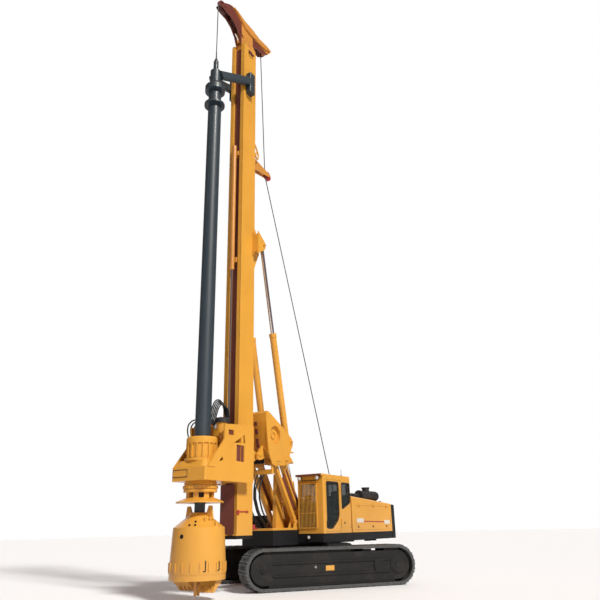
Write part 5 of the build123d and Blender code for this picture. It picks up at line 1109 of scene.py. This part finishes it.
def swell(made):
    """Blow the closed form up as cloth, no point further than SWELL."""
    even = made.modifiers.new("even", "REMESH")
    even.mode = "VOXEL"
    even.voxel_size = VOXEL
    even.use_smooth_shade = True
    settle(made)
    before = [point.co.copy() for point in made.data.vertices]
    cloth = made.modifiers.new("cloth", "CLOTH")
    cloth.settings.use_pressure = True
    cloth.settings.uniform_pressure_force = PRESSURE
    cloth.settings.effector_weights.gravity = 0
    for step in range(1, CLOTH_STEPS + 1):
        bpy.context.scene.frame_set(step)
    settle(made)
    bpy.context.scene.frame_set(1)
    far = 0
    for point, start in zip(made.data.vertices, before):
        move = point.co - start
        far = max(far, move.length)
        if move.length > SWELL:
            point.co = start + move * (SWELL / move.length)
    print(made.name, "points", len(before), "moved up to", round(far, 4), "m")


print("cloth helpers ready")

# %% [markdown]
# ## Cushions
# The closed form is a stack of rounded squares that widen towards the cushion's middle and pull in a little
# between the corners. After the swelling, sewn channels are pressed into both faces, and rays from the
# middle find the side seam, along which a piping runs.

# %% Seat cushions
LEVELS = 13
ROUND_STEPS = 44
SQUARE = 0.42
WAIST = 0.035
SEAM_WIDTH = 0.012
SEAM_DIP = 0.007
PIPING_STEPS = 48
PIPING_R = 0.005
piping = Shape()


def cushion(name, centre, size, turn, channels=()):
    """A crowned closed form; its last size is its thickness."""
    form = Shape()
    rings = []
    for level in range(LEVELS):
        high = math.cos(math.pi * (level + 0.5) / LEVELS)
        spread = (1 - abs(high) ** 3.2) ** 0.34
        ring = []
        for step in range(ROUND_STEPS):
            way = math.tau * step / ROUND_STEPS
            a, b = (math.copysign(abs(part) ** SQUARE, part) for part in (math.cos(way), math.sin(way)))
            pull = 1 - WAIST * (1 - abs(abs(a) - abs(b)))
            ring.append(Vector(centre) + turn @ Vector((a * spread * pull * size[0] / 2,
                                                        b * spread * pull * size[1] / 2, -high * size[2] / 2)))
            rings.append(ring)
    form.stitch(rings)
    made = form.piece(name, "upper", seat_cloth, "seat_fabric", 0, ("operator_seat",))
    swell(made)
    for point in made.data.vertices:
        place = turn.transposed() @ (point.co - Vector(centre))
        dip = sum(math.exp(-((place.x - line) / SEAM_WIDTH) ** 2) for line in channels)
        point.co -= turn @ Vector((0, 0, math.copysign(SEAM_DIP * dip, place.z)))
    made.modifiers.new("round", "SUBSURF")
    bpy.context.view_layer.update()
    edge = []
    for step in range(PIPING_STEPS):
        angle = math.tau * step / PIPING_STEPS
        edge.append(made.ray_cast(Vector(centre), turn @ Vector((math.cos(angle), math.sin(angle), 0)))[1])
    piping.pipe(edge + edge[:1], PIPING_R, 8, 1)


SEAT_Y = 1.068
SEAT_TURN = Matrix.Rotation(math.radians(-4), 3, "Y")
BACK_TURN = Matrix.Rotation(math.radians(-98), 3, "Y")
cushion("seat_cushion", (0.325, SEAT_Y, 1.905), (0.44, 0.45, 0.12), SEAT_TURN, (-0.08, 0.05))
cushion("back_cushion", (0.035, SEAT_Y, 2.215), (0.61, 0.45, 0.10), BACK_TURN, (-0.14, 0.02, 0.16))
cushion("head_cushion", (-0.025, SEAT_Y, 2.605), (0.14, 0.25, 0.07), BACK_TURN)
piping.piece("seat_piping", "upper", black_plastic, "dark_plastic", 0, ("operator_seat",))

# %% [markdown]
# ## Base of the seat
# A sprung box in a rubber bellows carries the seat, with an arm rest on each side and a spine behind the back
# cushion. The bellows is a stack of boxes of two sizes in turn.

# %% Base of the seat
base = Shape()
base.box((0.25, SEAT_Y, 1.53), (0.34, 0.34, 0.06))
for level in range(5):
    fold = 0.30 - 0.02 * (level % 2)
    base.box((0.25, SEAT_Y, 1.59 + 0.045 * level), (fold, fold, 0.04))
base.box((0.29, SEAT_Y, 1.825), (0.42, 0.42, 0.04))
base.pipe([(0.07, SEAT_Y, 1.83), (0.02, SEAT_Y, 1.90), (-0.02, SEAT_Y, 2.20), (-0.045, SEAT_Y, 2.62)], 0.018, 8)
for side in (-1, 1):
    base.box((0.22, SEAT_Y + side * 0.222, 2.03), (0.26, 0.03, 0.035))
base.piece("seat_base", "upper", black_plastic, "dark_plastic", 0.004, ("operator_seat",))

# %% [markdown]
# ## Trim of the engine's lid
# A thin dark red stripe runs along the lid between two blank plates, with three latches under it. Each part is
# set on the lid's own face and rides on the lid, so that all of it opens with it.

# %% Lid trim
lid_face = meets("hood_lid", (-2.0, 3.0, 1.70), (0, -1, 0)).y
stripe = Shape()
stripe.box((-2.09, lid_face + 0.0015, 1.765), (2.60, 0.003, 0.032), Matrix.Rotation(math.radians(-0.6), 3, "Y"))
stripe.piece("lid_stripe", "hood_lid", red_enamel, "sheave_red", 0)
blank_plate = enamel("blank_plate", (0.62, 0.6, 0.54), 0.3, 0.4)
plates = Shape()
plates.box((-1.02, lid_face + 0.003, 1.80), (0.50, 0.006, 0.13))
plates.box((-3.12, lid_face + 0.003, 1.75), (0.46, 0.006, 0.12))
plates.piece("lid_plates", "hood_lid", blank_plate, "yellow_paint", 0.001)
latches = Shape()
for x in (-0.88, -1.96, -3.05):
    latches.turned((x, lid_face, 1.615), Y, ((0.034, 0), (0.034, 0.008), (0.026, 0.010)), 20)
    latches.box((x, lid_face + 0.014, 1.615), (0.05, 0.012, 0.014), Matrix.Rotation(0.5, 3, "Y"))
latches.piece("lid_latches", "hood_lid", black_plastic, "dark_plastic", 0.001)

# %% [markdown]
# ## Hood tops
# On the hoods' sloping top stand the bent exhaust pipe, two filler caps and a row of louvres, which take their
# height from the slope. Bent bars make the lifting eyes at the back end, and two lugs stand at the deck's edge.

# %% Hood tops
HOOD_FRONT_X = -0.460
HOOD_FRONT_Z = 2.530
HOOD_LONG = 3.090
HOOD_DROP = 0.160
HOOD_TURN = Matrix.Rotation(math.radians(-2.96), 3, "Y")


def hood_top(x):
    """Height of the hoods' sloping top."""
    return HOOD_FRONT_Z - HOOD_DROP * (HOOD_FRONT_X - x) / HOOD_LONG


tops = Shape()
tops.pipe([(-1.56, 0.90, hood_top(-2.08) + 0.165), (-1.42, 0.90, hood_top(-2.08) + 0.155),
           (-1.36, 0.90, hood_top(-1.4) + 0.09), (-1.36, 0.90, hood_top(-1.4) - 0.01)], 0.062, 20)
for x, y in ((-2.95, -0.85), (-2.95, -1.20)):
    tops.turned((x, y, hood_top(x)), Z,
                ((0.09, 0), (0.09, 0.03), (0.075, 0.035), (0.075, 0.06), (0.06, 0.068)), 28)
for x in (-0.8, -1.0, -1.2, -1.4, -1.6, -1.8, -2.0, -2.2):
    tops.box((x, -1.0, hood_top(x) + 0.004), (0.07, 0.56, 0.012), HOOD_TURN)
tops.piece("hood_tops", "upper", black_plastic, "dark_plastic", 0.003)
eyes = Shape()
for y in (-0.95, 0.95):
    eyes.pipe([(-3.70, y + aside, z) for aside, z in ((-0.07, 2.33), (-0.065, 2.42), (0, 2.46), (0.065, 2.42),
                                                      (0.07, 2.33))], 0.018, 10)
for x in (-1.78, -2.20):
    eyes.box((x, 1.30, 1.195), (0.15, 0.18, 0.05))
eyes.piece("lifting_eyes", "upper", dark_enamel, "dark_paint", 0.003)

# %% [markdown]
# ## Windows of the power head
# The head's side plates have wide windows, and deep shade lies in them. Thin dark oxide red panels behind
# the openings paint that shade, because a node of the CAD model has one finish.

# %% Backs of the head's windows
backs = Shape()
# Painted shade: dark oxide red panels behind the head's windows.
for side in (-1, 1):
    backs.box((4.268, side * 0.540, 3.515), (0.42, 0.006, 0.47))
    backs.box((4.680, side * 0.540, 4.025), (0.27, 0.006, 0.16))
    backs.box((4.185, side * 0.5775, 3.515), (0.096, 0.003, 0.426))
backs.piece("window_backs", "power_head", oxide_red, "sheave_red", 0)

# %% [markdown]
# ## Sign plate
# The front of the head carries one blank sign plate with a dark border, held by four rivets.

# %% Sign plate
plate = Shape()
plate.box((5.6665, -0.27, 2.955), (0.007, 0.47, 0.17))
plate.piece("sign_plate", "power_head", yellow_enamel, "yellow_paint", 0.001)
border = Shape()
border.rim(((-0.235, -0.085), (0.235, -0.085), (0.235, 0.085), (-0.235, 0.085)), (5.6675, -0.27, 2.955), Y, Z,
           0.016, 0.011)
border.piece("sign_border", "power_head", dark_enamel, "dark_paint", 0)
rivets = Shape()
for y, z in ((-0.48, 3.02), (-0.06, 3.02), (-0.48, 2.89), (-0.06, 2.89)):
    rivets.bolt((5.670, y, z), X, 0.007)
rivets.piece("sign_rivets", "power_head", ground_steel, "bright_steel", 0)

# %% [markdown]
# ## Painted shade and hooks of the mast
# The mast's front web between the rails and the plate at its foot carry painted shade in dark oxide red,
# and a dark line of painted shade runs down each side where the rails stand proud. Hook, lugs, couplings and
# the carrier's fittings hold hoses and tools. They are thin boxes just proud of the CAD faces, turned forms
# and bent bars.

# %% Painted shade and hooks of the mast
apron = Shape()
# Painted shade: dark oxide red on the lower front face and on the web between the rails.
apron.box((4.091, 0.028, 2.115), (0.010, 0.474, 1.25))
apron.box((3.899, 0.0, 10.30), (0.008, 0.284, 15.10))
apron.piece("mast_apron", "mast", oxide_red, "sheave_red", 0.002)
# Painted shade: a dark line down each side where the rails stand proud.
shade_lines = Shape()
for side in (-1, 1):
    shade_lines.box((3.984, side * 0.2655, 9.70), (0.010, 0.003, 16.4))
shade_lines.piece("mast_seams", "mast", dark_enamel, "dark_paint", 0)
hook = Shape()
hook.pipe([(x, 0.20, z) for x, z in ((3.27, 14.14), (3.15, 14.07), (3.01, 13.84), (2.99, 13.68), (3.07, 13.60),
                                     (3.14, 13.70), (3.10, 13.84))], 0.028, 12)
hook.piece("mast_hook", "mast", yellow_enamel, "yellow_paint", 0)
lugs = Shape()
lugs.box((3.60, 0.271, 17.80), (0.22, 0.014, 0.16))
lugs.pipe([(3.50, 0.27, 17.74), (3.48, 0.33, 17.72), (3.60, 0.345, 17.70), (3.72, 0.33, 17.72),
           (3.70, 0.27, 17.74)], 0.020, 10)
lugs.piece("mast_lugs", "mast", oxide_red, "sheave_red", 0.002)
fittings = Shape()
for z, tall in ((4.50, 0.10), (4.27, 0.16), (3.95, 0.26)):
    fittings.box((3.040 - (4.53 - z) * 0.1824, 0.20, z), (0.05, 0.09, tall), Matrix.Rotation(0.18, 3, "Y"))
fittings.piece("carrier_fittings", "carrier", oxide_red, "sheave_red", 0.003)
mast_items = Shape()
mast_items.box((3.19, 0.18, 1.66), (0.15, 0.15, 0.12))
mast_items.turned((3.12, 0.18, 1.62), -X, ((0.035, 0), (0.035, 0.08), (0.022, 0.085), (0.022, 0.20)), 12)
mast_items.box((3.94, 0.275, 2.03), (0.10, 0.02, 0.12))
mast_items.turned((3.90, 0.275, 2.05), -X, ((0.016, 0), (0.016, 0.34), (0.03, 0.34), (0.03, 0.40)), 10)
mast_items.piece("mast_couplings", "mast", red_enamel, "sheave_red", 0.002)

# %% [markdown]
# ## Bucket
# The bucket has a round peep hole, stubs on its shoulder, two slots of its door latch and pins in its ears.
# Peep hole and slots are dark discs and bars of painted shade, where their openings lie in shade.
# Its shell is round, so each mark is given by an angle and a height, and a ray finds the face and the
# outward direction there.

# %% Bucket fittings


def on_bucket(turn, z):
    """Face of the bucket at an angle from +X and a height, with its outward direction."""
    out = Vector((math.cos(math.radians(turn)), math.sin(math.radians(turn)), 0))
    return meets("bucket_shell", Vector((KELLY_X, 0, z)) + out * 2, -out), out


dots = Shape()
# Painted shade: a dark disc for the peep hole.
spot, out = on_bucket(2, 1.47)
dots.turned(spot - out * 0.004, out, ((0.052, 0), (0.052, 0.008), (0.04, 0.010)), 24)
for turn, z in ((30, 1.80), (31, 1.72), (17, 1.72)):
    spot, out = on_bucket(turn, z)
    dots.turned(spot, out + Z, ((0.026, -0.01), (0.026, 0.02), (0.018, 0.024)), 16)
# Painted shade: dark bars for the latch's slots.
for turn, low, high in ((56, 0.70, 0.93), (88, 0.71, 0.90)):
    spot, out = on_bucket(turn, low)
    across = out.cross(Z)
    frame_turn = Matrix((across, out, Z)).transposed()
    dots.box(spot + Z * (high - low) / 2 + out * 0.006, (0.022, 0.012, high - low), frame_turn)
    dots.box(spot + across * 0.03 + out * 0.006, (0.06, 0.012, 0.022), frame_turn)
dots.piece("bucket_marks", "kelly", dark_enamel, "dark_paint", 0.001)
stubs = Shape()
for turn, z in ((60, 1.81), (77, 1.81), (84, 1.70)):
    spot, out = on_bucket(turn, z)
    stubs.turned(spot - Z * 0.03, Z, ((0.03, 0), (0.03, 0.13), (0.02, 0.14)), 16)
for side in (-1, 1):
    for face in (-1, 1):
        stubs.turned((KELLY_X + face * 0.025, side * 0.350, 2.105), X * face,
                     ((0.05, 0), (0.05, 0.010), (0.034, 0.010), (0.034, -0.02)), 24)
stubs.piece("bucket_stubs", "kelly", yellow_enamel, "yellow_paint", 0.001)

# %% [markdown]
# ## Sizes
# The bounds of everything the finished scene shows, the floor left out, are computed here.

# %% Sizes and finish
low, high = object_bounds()
